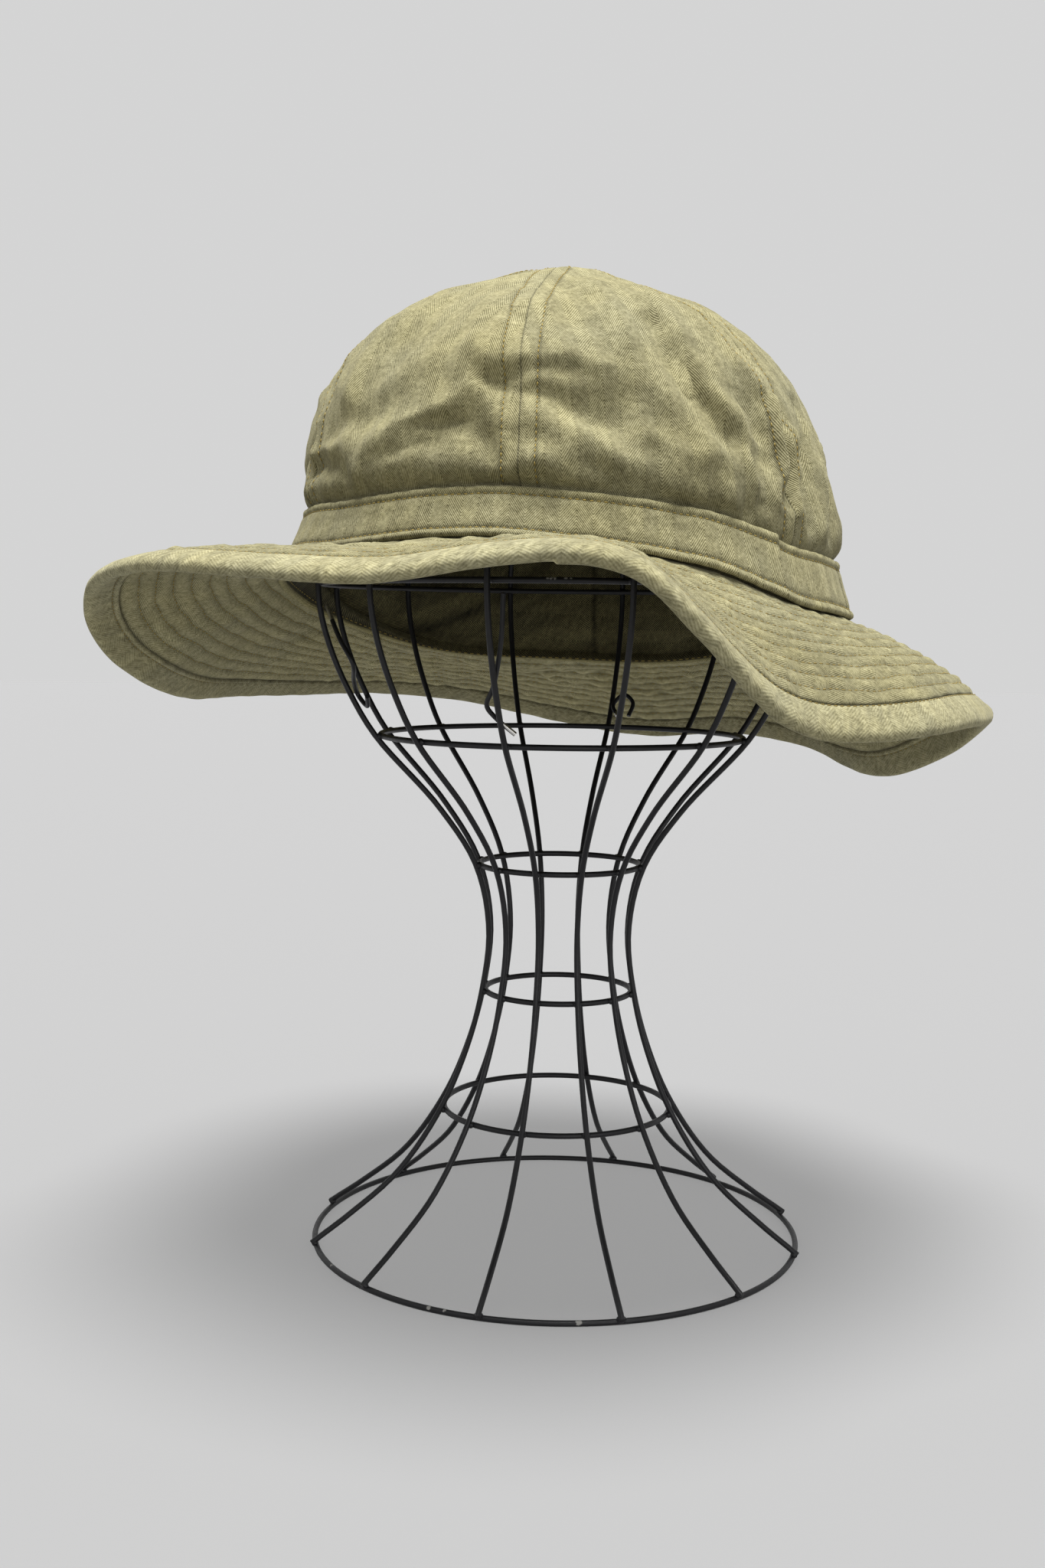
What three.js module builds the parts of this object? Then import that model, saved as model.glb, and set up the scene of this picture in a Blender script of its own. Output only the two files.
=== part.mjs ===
// A soft field hat of herringbone cloth, resting on a plain wire hat stand.
// Lengths are millimetres, +Z is up, and the hat's front faces -Y.
// An azimuth is in degrees, 0 at the front and growing towards +X.
import * as THREE from 'three';
import { mergeVertices } from 'three/addons/utils/BufferGeometryUtils.js';

// Wire stand
const WIRE_RADIUS = 1.0;
const CLIP_WIRE_RADIUS = 0.8;
const RIB_SIDES = 5;
const RIB_STEPS = 20;
const RING_SIDES = 6;
const RIB_COUNT = 12;
const FIRST_RIB_AZIMUTH = 13;
const WELD_GAP = 0.3;
const RIB_PROFILE = [
  { height: 2.9, radius: 88.2 },
  { height: 5.0, radius: 85.2 },
  { height: 11.5, radius: 74.5 },
  { height: 25.8, radius: 57.5 },
  { height: 47.4, radius: 42.4 },
  { height: 68.8, radius: 33.2 },
  { height: 89.3, radius: 27.8 },
  { height: 111.8, radius: 25.5 },
  { height: 134.3, radius: 30.3 },
  { height: 154.8, radius: 43.5 },
  { height: 179.8, radius: 66.0 },
  { height: 193.5, radius: 74.4 },
  { height: 208.0, radius: 81.0 },
  { height: 221.9, radius: 85.0 },
  { height: 232.0, radius: 86.0 },
  { height: 240.0, radius: 85.4 },
  { height: 250.0, radius: 83.5 },
  { height: 260.0, radius: 81.0 },
  { height: 277.0, radius: 75.0 },
  { height: 294.0, radius: 65.5 },
  { height: 309.0, radius: 53.5 },
  { height: 321.0, radius: 39.0 },
  { height: 329.9, radius: 22.0 },
  { height: 331.9, radius: 14.5 },
];
const RINGS = [
  { name: 'stand_ring_low', height: 47.4, segments: 24 },
  { name: 'stand_ring_waist_low', height: 89.3, segments: 24 },
  { name: 'stand_ring_waist_high', height: 134.3, segments: 24 },
  { name: 'stand_ring_high', height: 179.8, segments: 28 },
  { name: 'stand_ring_shoulder', height: 232.0, segments: 32 },
];
const BASE_RING_RADIUS = 86;
const BASE_RING_SEGMENTS = 36;
const TOP_RING = { radius: 16, rise: 2.3, segments: 20 };
// A clip's inset is how far its wire lies inside the ribs.
const CLIP_INSET = 2.4;
const CLIP_STEPS = 10;
const CLIPS = [
  {
    name: 'wire_clip_left',
    route: [
      { azimuth: -76.5, height: 224 },
      { azimuth: -70, height: 213 },
      { azimuth: -66, height: 205 },
      { azimuth: -72, height: 199 },
      { azimuth: -76.5, height: 194 },
      { azimuth: -71, height: 190.5 },
      { azimuth: -66, height: 194 },
    ],
  },
  {
    name: 'wire_clip_front',
    route: [
      { azimuth: -14, height: 228 },
      { azimuth: -15, height: 213 },
      { azimuth: -18, height: 199 },
      { azimuth: -20.5, height: 193 },
      { azimuth: -18.5, height: 189 },
      { azimuth: -14, height: 184 },
    ],
  },
  {
    name: 'wire_clip_back',
    route: [
      { azimuth: 160, height: 184 },
      { azimuth: 162, height: 188 },
      { azimuth: 159, height: 192 },
      { azimuth: 155.5, height: 189 },
      { azimuth: 156, height: 184 },
    ],
  },
];

// Hat: the seam where brim and band meet is the reference curve of every cloth piece.
const CLOTH_GAP = 0.3;
const CROWN_PLY = 1.2;
const BAND_PLY = 1.2;
const SWEATBAND_PLY = 1.0;
const BRIM_PLY = 2.4;
const SEAM = { x: 1.7, y: 2.5, radius: 97.8 };
const BAND_TOP = { x: 2.1, y: 2.5, radius: 91.9 };
const APEX = { x: -1.2, y: 6.0, height: 340.5 };
const CROWN_TUCK = 4.0;
const BAND_WIDTH = 17.0;
const SWEATBAND_RISE = 18.0;
const SWEATBAND_LEAN = 1.6;
const FIRST_SEAM_AZIMUTH = -11;
const PANEL_COUNT = 6;
const PANEL_COLUMNS = 8;
const PANEL_ROWS = 11;
const RING_COLUMNS = PANEL_COUNT * PANEL_COLUMNS;
const BRIM_COLUMNS = 72;
const BRIM_ROWS = 5;
const BORDER_WIDTH = 12;
const BORDER_GAP = 0.45;
const BORDER_PLY = 4.0;
const BRIM_SEAM_RADIUS = 95.2;
const BRIM_SEAM_DROP = 0.9;

// The band's lower seam and its height above that seam, by azimuth.
const BAND_LINE = [
  { azimuth: -180, seam: 208.5, rise: 17.5 },
  { azimuth: -150, seam: 211.5, rise: 17.5 },
  { azimuth: -125, seam: 222.5, rise: 17.5 },
  { azimuth: -100, seam: 236.5, rise: 18.0 },
  { azimuth: -75, seam: 241.5, rise: 15.0 },
  { azimuth: -48, seam: 242.5, rise: 14.8 },
  { azimuth: -20, seam: 245.2, rise: 14.6 },
  { azimuth: 0, seam: 243.0, rise: 15.2 },
  { azimuth: 24, seam: 236.9, rise: 16.6 },
  { azimuth: 47, seam: 226.3, rise: 18.2 },
  { azimuth: 70, seam: 223.0, rise: 18.4 },
  { azimuth: 95, seam: 221.0, rise: 18.6 },
  { azimuth: 125, seam: 214.0, rise: 18.0 },
  { azimuth: 155, seam: 208.0, rise: 17.5 },
];

// The crown's upright section above the band. Level is per cent of the way up to the apex.
const CROWN_PROFILE = [
  { level: 0, radius: 90.2 },
  { level: 8, radius: 93.0 },
  { level: 25, radius: 90.4 },
  { level: 42, radius: 86.2 },
  { level: 58, radius: 78.8 },
  { level: 72, radius: 68.0 },
  { level: 84, radius: 51.5 },
  { level: 93, radius: 31.0 },
  { level: 98.2, radius: 14.0 },
  { level: 100, radius: 0 },
];

// Folds pressed into the crown. Heights are measured up the cloth from the band,
// lean turns the fold clockwise from upright, and a negative depth is a hollow.
const CROWN_FOLDS = [
  { azimuth: -26, height: 62, lean: 48, length: 24, width: 8, depth: -2.2 },
  { azimuth: -34, height: 46, lean: 60, length: 18, width: 7, depth: 1.6 },
  { azimuth: -48, height: 26, lean: 78, length: 20, width: 7, depth: -2.0 },
  { azimuth: -66, height: 16, lean: 70, length: 14, width: 6, depth: -1.8 },
  { azimuth: -62, height: 58, lean: 20, length: 26, width: 8, depth: 1.6 },
  { azimuth: 4, height: 66, lean: 75, length: 18, width: 8, depth: -2.0 },
  { azimuth: 8, height: 50, lean: 80, length: 20, width: 7, depth: 1.8 },
  { azimuth: 6, height: 24, lean: 84, length: 26, width: 8, depth: -2.4 },
  { azimuth: 24, height: 40, lean: -24, length: 30, width: 6, depth: -2.0 },
  { azimuth: 33, height: 46, lean: -22, length: 30, width: 6, depth: 1.8 },
  { azimuth: 42, height: 30, lean: -8, length: 22, width: 5, depth: -2.2 },
  { azimuth: 58, height: 28, lean: 4, length: 24, width: 5, depth: -2.0 },
  { azimuth: 72, height: 24, lean: 6, length: 20, width: 5, depth: -1.6 },
  { azimuth: 110, height: 34, lean: 60, length: 26, width: 8, depth: -1.8 },
  { azimuth: 150, height: 28, lean: -70, length: 24, width: 8, depth: -2.0 },
  { azimuth: 190, height: 44, lean: 65, length: 26, width: 8, depth: -1.8 },
  { azimuth: 232, height: 30, lean: -75, length: 26, width: 8, depth: -2.0 },
  { azimuth: 262, height: 50, lean: 30, length: 24, width: 8, depth: -1.6 },
];

// The brim's edge, by azimuth: reach is measured outwards from the seam curve. Spring and curl are
// the angles by which the cloth leaves the seam above, and meets the edge below, the straight line.
const BRIM_EDGE = [
  { azimuth: -180, reach: 58.6, height: 178.3, spring: 4, curl: 19 },
  { azimuth: -165, reach: 61.4, height: 186.9, spring: 4, curl: 19 },
  { azimuth: -150, reach: 61.0, height: 190.6, spring: 4, curl: 18 },
  { azimuth: -135, reach: 58.1, height: 190.4, spring: 4, curl: 14 },
  { azimuth: -120, reach: 54.7, height: 190.7, spring: 3, curl: 11 },
  { azimuth: -105, reach: 50.8, height: 191.2, spring: 2, curl: 8 },
  { azimuth: -92, reach: 53.0, height: 197.1, spring: 0, curl: 6 },
  { azimuth: -84, reach: 61.5, height: 206.5, spring: 0, curl: 8 },
  { azimuth: -77, reach: 67.2, height: 218.0, spring: 0, curl: 13 },
  { azimuth: -69, reach: 68.2, height: 228.8, spring: 0, curl: 22 },
  { azimuth: -60, reach: 66.0, height: 234.0, spring: 0, curl: 26 },
  { azimuth: -48, reach: 64.8, height: 234.7, spring: 0, curl: 28 },
  { azimuth: -33, reach: 65.2, height: 232.0, spring: 0, curl: 28 },
  { azimuth: -20, reach: 65.1, height: 230.8, spring: 0, curl: 28 },
  { azimuth: -8, reach: 66.6, height: 235.7, spring: 0, curl: 28 },
  { azimuth: 0, reach: 67.0, height: 236.6, spring: 0, curl: 28 },
  { azimuth: 6, reach: 65.7, height: 231.2, spring: 2, curl: 31 },
  { azimuth: 12, reach: 62.5, height: 216.2, spring: 4, curl: 26 },
  { azimuth: 17, reach: 56.1, height: 204.3, spring: 5, curl: 21 },
  { azimuth: 23, reach: 49.1, height: 193.1, spring: 6, curl: 22 },
  { azimuth: 30, reach: 45.1, height: 187.4, spring: 7, curl: 21 },
  { azimuth: 38, reach: 46.6, height: 186.7, spring: 9, curl: 22 },
  { azimuth: 48, reach: 49.1, height: 188.3, spring: 12, curl: 21 },
  { azimuth: 60, reach: 47.0, height: 189.0, spring: 15, curl: 26 },
  { azimuth: 74, reach: 46.5, height: 188.0, spring: 16, curl: 30 },
  { azimuth: 87, reach: 51.5, height: 187.2, spring: 14, curl: 27 },
  { azimuth: 97, reach: 58.5, height: 185.2, spring: 10, curl: 21 },
  { azimuth: 106, reach: 55.7, height: 173.9, spring: 8, curl: 21 },
  { azimuth: 116, reach: 47.7, height: 163.1, spring: 6, curl: 16 },
  { azimuth: 126, reach: 49.7, height: 163.7, spring: 5, curl: 16 },
  { azimuth: 136, reach: 56.2, height: 170.1, spring: 5, curl: 18 },
  { azimuth: 150, reach: 58.6, height: 175.0, spring: 5, curl: 19 },
  { azimuth: 165, reach: 56.6, height: 172.7, spring: 4, curl: 19 },
];

const clothMaterial = (color) => new THREE.MeshStandardMaterial({ color, roughness: 0.92, metalness: 0 });
const wireMaterial = () => new THREE.MeshStandardMaterial({ color: 0x16171a, roughness: 0.45, metalness: 0.6 });
const CLOTH_COLOR = 0x8f8a62;
const INNER_CLOTH_COLOR = 0x6f6b49;

const toRadians = THREE.MathUtils.degToRad;
const toDegrees = THREE.MathUtils.radToDeg;

const hatOnStand = new THREE.Group();
hatOnStand.name = 'field_hat_on_wire_stand';

function addPiece(name, geometry, material) {
  geometry.deleteAttribute('normal');
  geometry.deleteAttribute('uv');
  const closed = mergeVertices(geometry, 1e-5);
  closed.computeVertexNormals();
  const mesh = new THREE.Mesh(closed, material);
  mesh.name = name;
  hatOnStand.add(mesh);
  return mesh;
}

// A polygon of the same area as a round wire has its corners a little further out.
function cornerRadius(radius, sides) {
  return radius * Math.sqrt((2 * Math.PI) / (sides * Math.sin((2 * Math.PI) / sides)));
}

function wireSection(radius, sides) {
  const corner = cornerRadius(radius, sides);
  const corners = [];
  for (let i = 0; i < sides; i += 1) {
    const turn = (i * 2 * Math.PI) / sides;
    corners.push(new THREE.Vector2(corner * Math.cos(turn), corner * Math.sin(turn)));
  }
  return new THREE.Shape(corners);
}

function around(azimuth, radius, height, centre = { x: 0, y: 0 }) {
  const turn = toRadians(azimuth);
  return new THREE.Vector3(
    centre.x + radius * Math.sin(turn),
    centre.y - radius * Math.cos(turn),
    height,
  );
}

// Stand
const ribCurve = new THREE.CatmullRomCurve3(
  RIB_PROFILE.map((row) => new THREE.Vector3(row.radius, 0, row.height)),
  false,
  'centripetal',
);

// The rib's radius and its change of radius with height, on the straight steps that it is made of.
function ribAt(height) {
  const points = ribCurve.getSpacedPoints(RIB_STEPS);
  const above = points.findIndex((point) => point.z >= height);
  const low = points[above - 1];
  const high = points[above];
  const slope = (high.x - low.x) / (high.z - low.z);
  return { radius: low.x + slope * (height - low.z), slope };
}

function wireAlong(points, radius, sides, steps) {
  const path = new THREE.CatmullRomCurve3(points, false, 'centripetal');
  return new THREE.ExtrudeGeometry(wireSection(radius, sides), {
    steps,
    extrudePath: path,
    bevelEnabled: false,
  });
}

function wireRing(radius, height, segments) {
  const corner = cornerRadius(WIRE_RADIUS, RING_SIDES);
  const ring = new THREE.TorusGeometry(radius, corner, RING_SIDES, segments);
  ring.translate(0, 0, height);
  return ring;
}

function addStand() {
  const corner = cornerRadius(WIRE_RADIUS, RIB_SIDES);
  const flatBottom = cornerRadius(WIRE_RADIUS, RING_SIDES) * Math.sin(Math.PI / 3);
  addPiece('stand_base_ring', wireRing(BASE_RING_RADIUS, flatBottom, BASE_RING_SEGMENTS), wireMaterial());
  for (const ring of RINGS) {
    const rib = ribAt(ring.height);
    const inset = (2 * corner + WELD_GAP) * Math.hypot(1, rib.slope);
    addPiece(ring.name, wireRing(rib.radius - inset, ring.height, ring.segments), wireMaterial());
  }
  const crest = RIB_PROFILE[RIB_PROFILE.length - 1].height + TOP_RING.rise;
  addPiece('stand_top_ring', wireRing(TOP_RING.radius, crest, TOP_RING.segments), wireMaterial());
  for (let i = 0; i < RIB_COUNT; i += 1) {
    const azimuth = FIRST_RIB_AZIMUTH + (i * 360) / RIB_COUNT;
    const route = RIB_PROFILE.map((row) => around(azimuth, row.radius, row.height));
    const name = `stand_rib_${String(i + 1).padStart(2, '0')}`;
    addPiece(name, wireAlong(route, WIRE_RADIUS, RIB_SIDES, RIB_STEPS), wireMaterial());
  }
  for (const clip of CLIPS) {
    const route = clip.route.map((stop) =>
      around(stop.azimuth, ribAt(stop.height).radius - CLIP_INSET, stop.height));
    addPiece(clip.name, wireAlong(route, CLIP_WIRE_RADIUS, RIB_SIDES, CLIP_STEPS), wireMaterial());
  }
}

// Curves of the hat
// A smooth closed curve through one column of a table whose rows run from -180 upwards.
function valueAround(table, column, azimuth) {
  const count = table.length;
  const turn = ((((azimuth + 180) % 360) + 360) % 360) - 180;
  let index = count - 1;
  while (table[index].azimuth > turn) {
    index -= 1;
  }
  const row = (offset) => {
    const place = index + offset;
    const lap = Math.floor(place / count);
    const source = table[place - lap * count];
    return { azimuth: source.azimuth + 360 * lap, value: source[column] };
  };
  const [before, start, end, after] = [row(-1), row(0), row(1), row(2)];
  const span = end.azimuth - start.azimuth;
  const t = (turn - start.azimuth) / span;
  const slopeStart = ((end.value - before.value) / (end.azimuth - before.azimuth)) * span;
  const slopeEnd = ((after.value - start.value) / (after.azimuth - start.azimuth)) * span;
  const t2 = t * t;
  const t3 = t2 * t;
  return (2 * t3 - 3 * t2 + 1) * start.value + (t3 - 2 * t2 + t) * slopeStart
    + (3 * t2 - 2 * t3) * end.value + (t3 - t2) * slopeEnd;
}

function seamHeight(azimuth) {
  return valueAround(BAND_LINE, 'seam', azimuth);
}

function bandRise(azimuth) {
  return valueAround(BAND_LINE, 'rise', azimuth);
}

function smooth(value) {
  const t = THREE.MathUtils.clamp(value, 0, 1);
  return t * t * (3 - 2 * t);
}

function bandCentre(share) {
  return {
    x: THREE.MathUtils.lerp(SEAM.x, BAND_TOP.x, share),
    y: THREE.MathUtils.lerp(SEAM.y, BAND_TOP.y, share),
  };
}

// The outer face of the band, from the brim seam at share 0 to its top edge at share 1.
function bandPoint(azimuth, share) {
  const radius = THREE.MathUtils.lerp(SEAM.radius, BAND_TOP.radius, share);
  return around(azimuth, radius, seamHeight(azimuth) + bandRise(azimuth) * share, bandCentre(share));
}

function foldDepth(azimuth, height, radius) {
  let depth = 0;
  for (const fold of CROWN_FOLDS) {
    const turn = ((((azimuth - fold.azimuth) % 360) + 540) % 360) - 180;
    const across = toRadians(turn) * radius;
    const up = height - fold.height;
    const lean = toRadians(fold.lean);
    const along = up * Math.cos(lean) + across * Math.sin(lean);
    const beside = across * Math.cos(lean) - up * Math.sin(lean);
    const shape = (along / fold.length) ** 2 + (beside / fold.width) ** 2;
    depth += fold.depth * Math.exp(-shape);
  }
  return depth;
}

const crownProfile = new THREE.SplineCurve(
  CROWN_PROFILE.map((row) => new THREE.Vector2(row.radius, row.level)),
);

// The outer face of the crown: below 0 it is tucked behind the band, and at 1 it is the apex.
function crownPoint(azimuth, share) {
  const rise = bandRise(azimuth);
  const base = seamHeight(azimuth) + rise;
  if (share <= 0) {
    const slope = (SEAM.radius - BAND_TOP.radius) / rise;
    const down = -share * CROWN_TUCK;
    return around(azimuth, CROWN_PROFILE[0].radius + slope * down, base - down, BAND_TOP);
  }
  const spot = crownProfile.getPointAt(Math.min(share, 1));
  const level = spot.y / 100;
  const height = THREE.MathUtils.lerp(base, APEX.height, level);
  const settle = smooth((height - base) / 12) * smooth(spot.x / 30);
  const radius = spot.x + settle * foldDepth(azimuth, height - base, Math.max(spot.x, 1));
  const centre = {
    x: THREE.MathUtils.lerp(BAND_TOP.x, APEX.x, level),
    y: THREE.MathUtils.lerp(BAND_TOP.y, APEX.y, level),
  };
  return around(azimuth, radius, height, centre);
}

// The section of brim and border at one azimuth: x is outwards, y is up, from the seam.
function brimCurve(azimuth) {
  const reach = valueAround(BRIM_EDGE, 'reach', azimuth);
  const rise = valueAround(BRIM_EDGE, 'height', azimuth) - seamHeight(azimuth);
  const spring = toRadians(valueAround(BRIM_EDGE, 'spring', azimuth));
  const curl = toRadians(valueAround(BRIM_EDGE, 'curl', azimuth));
  const start = new THREE.Vector2(BRIM_SEAM_RADIUS - SEAM.radius, -BRIM_SEAM_DROP);
  const end = new THREE.Vector2(reach, rise);
  const chord = start.distanceTo(end);
  const slope = Math.atan2(end.y - start.y, end.x - start.x);
  const startLean = slope + spring;
  const endLean = slope - curl;
  const startReach = chord * 0.38;
  const endReach = chord * 0.26;
  return new THREE.CubicBezierCurve(
    start,
    new THREE.Vector2(start.x + startReach * Math.cos(startLean), start.y + startReach * Math.sin(startLean)),
    new THREE.Vector2(end.x - endReach * Math.cos(endLean), end.y - endReach * Math.sin(endLean)),
    end,
  );
}

const sectionStore = new Map();

function brimPoint(azimuth, distance) {
  const key = azimuth.toFixed(4);
  if (!sectionStore.has(key)) {
    const curve = brimCurve(azimuth);
    sectionStore.set(key, { curve, length: curve.getLength() });
  }
  const { curve, length } = sectionStore.get(key);
  const share = THREE.MathUtils.clamp(distance / length, 0, 1);
  const spot = curve.getPointAt(share);
  return around(azimuth, SEAM.radius + spot.x, seamHeight(azimuth) + spot.y, SEAM);
}

function brimLength(azimuth) {
  brimPoint(azimuth, 0);
  return sectionStore.get(azimuth.toFixed(4)).length;
}

// Moves a spot of a surface along its outward normal.
function offsetFrom(surface, azimuth, along, depth, stepAlong) {
  const stepAzimuth = 0.2;
  const spot = surface(azimuth, along);
  const across = surface(azimuth + stepAzimuth, along).sub(surface(azimuth - stepAzimuth, along));
  const up = surface(azimuth, along + stepAlong).sub(surface(azimuth, along - stepAlong));
  const normal = across.cross(up).normalize();
  return spot.addScaledVector(normal, depth);
}

// Bends a closed ring onto a surface. Its section runs out along the face that depth grows towards,
// and back along the other face, as distance along the cloth and depth.
function clothRing(section, columns, firstAzimuth, placeSpot) {
  const core = 1000;
  const profile = section.map((spot) => new THREE.Vector2(core + spot.along, -spot.depth));
  profile.push(profile[0].clone());
  const ring = new THREE.LatheGeometry(profile, columns);
  const position = ring.getAttribute('position');
  for (let i = 0; i < position.count; i += 1) {
    const x = position.getX(i);
    const z = position.getZ(i);
    const azimuth = firstAzimuth + Math.round(toDegrees(Math.atan2(x, z)) * 1e4) / 1e4;
    const along = Math.hypot(x, z) - core;
    const placed = placeSpot(azimuth, Math.round(along * 1e4) / 1e4, -position.getY(i));
    position.setXYZ(i, placed.x, placed.y, placed.z);
  }
  return ring;
}

// Crown
function addCrown() {
  const columnAzimuth = 360 / PANEL_COUNT;
  for (let panel = 0; panel < PANEL_COUNT; panel += 1) {
    const sheet = new THREE.BoxGeometry(1, 1, 1, PANEL_COLUMNS, PANEL_ROWS, 1);
    const position = sheet.getAttribute('position');
    const first = FIRST_SEAM_AZIMUTH + panel * columnAzimuth;
    for (let i = 0; i < position.count; i += 1) {
      const row = Math.round((position.getY(i) + 0.5) * PANEL_ROWS);
      const share = row === 0 ? -1 : ((row - 1) / (PANEL_ROWS - 1)) * 0.99;
      const across = position.getX(i) + 0.5;
      const depth = (position.getZ(i) - 0.5) * CROWN_PLY;
      const middle = first + columnAzimuth / 2;
      const radius = Math.hypot(
        crownPoint(middle, share).x - APEX.x,
        crownPoint(middle, share).y - APEX.y,
      );
      const seamAllowance = toDegrees(CLOTH_GAP / 2 / Math.max(radius - CROWN_PLY, 0.5));
      const azimuth = first + seamAllowance + across * (columnAzimuth - 2 * seamAllowance);
      const placed = offsetFrom(crownPoint, azimuth, share, depth, 0.004);
      position.setXYZ(i, placed.x, placed.y, placed.z);
    }
    addPiece(`crown_panel_${panel + 1}`, sheet, clothMaterial(CLOTH_COLOR));
  }
}

// Band and sweatband
function addBands() {
  const width = BAND_WIDTH;
  const bandSection = [
    { along: 0, depth: 0 },
    { along: 0.8, depth: 0.6 },
    { along: 2.8, depth: 0.5 },
    { along: 3.4, depth: 0 },
    { along: width - 2.8, depth: 0 },
    { along: width - 2.2, depth: 0.4 },
    { along: width, depth: 0.3 },
    { along: width, depth: -BAND_PLY },
    { along: 0, depth: -BAND_PLY },
  ];
  const onBand = (azimuth, along, depth) =>
    offsetFrom(bandPoint, azimuth, along / width, depth, 0.02);
  addPiece(
    'hat_band',
    clothRing(bandSection, RING_COLUMNS, FIRST_SEAM_AZIMUTH, onBand),
    clothMaterial(CLOTH_COLOR),
  );

  const behindSeam = BAND_PLY + 2 * CLOTH_GAP;
  const behindCrown = BAND_PLY + CROWN_PLY + 5 * CLOTH_GAP;
  const lining = (azimuth, share) => {
    const behind = THREE.MathUtils.lerp(behindSeam, behindCrown, smooth(share * 1.4));
    const low = Math.min(share, 1);
    const high = Math.max(share - 1, 0);
    const outer = THREE.MathUtils.lerp(SEAM.radius, BAND_TOP.radius, low);
    const height = seamHeight(azimuth) + bandRise(azimuth) * low + SWEATBAND_RISE * high;
    return around(azimuth, outer - behind - SWEATBAND_LEAN * high, height, bandCentre(low));
  };
  const sweatSection = [
    { along: 0.01, depth: 0 },
    { along: 1, depth: 0 },
    { along: 2, depth: 0 },
    { along: 2, depth: -SWEATBAND_PLY },
    { along: 1, depth: -SWEATBAND_PLY },
    { along: 0.01, depth: -SWEATBAND_PLY },
  ];
  const onLining = (azimuth, share, depth) => offsetFrom(lining, azimuth, share, depth, 0.01);
  addPiece(
    'sweatband',
    clothRing(sweatSection, RING_COLUMNS, FIRST_SEAM_AZIMUTH, onLining),
    clothMaterial(INNER_CLOTH_COLOR),
  );
}

// Brim and its border: depth is measured down from the brim's upper face.
function addBrim() {
  const brimShares = [];
  for (let row = 0; row <= BRIM_ROWS; row += 1) {
    brimShares.push(row / BRIM_ROWS);
  }
  const brimSection = [
    ...brimShares.map((share) => ({ along: share, depth: BRIM_PLY })),
    ...[...brimShares].reverse().map((share) => ({ along: share, depth: 0 })),
  ];
  const onBrim = (azimuth, share, depth) => {
    const width = brimLength(azimuth) - BORDER_WIDTH - BORDER_GAP;
    return offsetFrom(brimPoint, azimuth, share * width, depth, 0.5);
  };
  addPiece('brim', clothRing(brimSection, BRIM_COLUMNS, 0, onBrim), clothMaterial(CLOTH_COLOR));

  const swell = (BORDER_PLY - BRIM_PLY) / 2;
  const borderSection = [
    { along: 0, depth: BRIM_PLY },
    { along: 5, depth: BRIM_PLY + swell },
    { along: BORDER_WIDTH - 1.4, depth: BRIM_PLY + swell },
    { along: BORDER_WIDTH, depth: BRIM_PLY - swell },
    { along: BORDER_WIDTH, depth: swell },
    { along: BORDER_WIDTH - 1.4, depth: -swell },
    { along: 5, depth: -swell },
    { along: 0, depth: 0 },
  ];
  const onBorder = (azimuth, along, depth) => {
    const distance = brimLength(azimuth) - BORDER_WIDTH + along;
    return offsetFrom(brimPoint, azimuth, distance, depth, 0.5);
  };
  addPiece('brim_border', clothRing(borderSection, BRIM_COLUMNS, 0, onBorder), clothMaterial(CLOTH_COLOR));
}

addStand();
addCrown();
addBands();
addBrim();

// The origin is the middle of the floor area that the whole object covers.
const reach = new THREE.Box3().setFromObject(hatOnStand);
hatOnStand.position.set(-(reach.min.x + reach.max.x) / 2, -(reach.min.y + reach.max.y) / 2, -reach.min.z);

export default hatOnStand;
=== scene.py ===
"""Looks of a soft herringbone field hat that rests on a black wire hat stand.

Lengths inside the classes are millimetres in the stand's own frame, whose upright axis is the
middle of the base ring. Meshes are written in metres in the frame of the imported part.
An azimuth is in degrees, 0 at the front of the hat and growing towards +X.
"""

from __future__ import annotations

import logging
import math
from dataclasses import dataclass, field
from enum import Enum

import bmesh
import bpy
import numpy as np
from mathutils import Matrix, Vector

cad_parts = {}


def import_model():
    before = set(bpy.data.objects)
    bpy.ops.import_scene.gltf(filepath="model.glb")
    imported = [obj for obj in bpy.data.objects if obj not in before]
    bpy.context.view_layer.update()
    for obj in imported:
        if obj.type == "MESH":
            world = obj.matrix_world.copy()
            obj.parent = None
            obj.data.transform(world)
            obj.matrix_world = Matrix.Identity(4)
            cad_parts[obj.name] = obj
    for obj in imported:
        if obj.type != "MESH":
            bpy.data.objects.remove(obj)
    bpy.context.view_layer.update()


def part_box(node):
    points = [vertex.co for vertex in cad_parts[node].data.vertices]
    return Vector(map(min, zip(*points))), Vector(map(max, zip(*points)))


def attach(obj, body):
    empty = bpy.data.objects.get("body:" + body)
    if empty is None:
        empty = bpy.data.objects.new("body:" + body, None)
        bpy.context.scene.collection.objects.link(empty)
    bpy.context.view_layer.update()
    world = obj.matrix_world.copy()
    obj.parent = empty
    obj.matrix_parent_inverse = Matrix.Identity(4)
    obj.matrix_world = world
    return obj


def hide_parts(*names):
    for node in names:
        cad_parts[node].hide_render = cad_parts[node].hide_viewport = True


LOG = logging.getLogger("field_hat")
MM = 0.001
BODY = "root"
WIRE_SHARP = math.radians(50)

Array = np.ndarray
Colour = tuple[float, float, float, float]
Material = bpy.types.Material
Piece = bpy.types.Object
Socket = bpy.types.NodeSocket


# ---- tables and small maths


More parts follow.
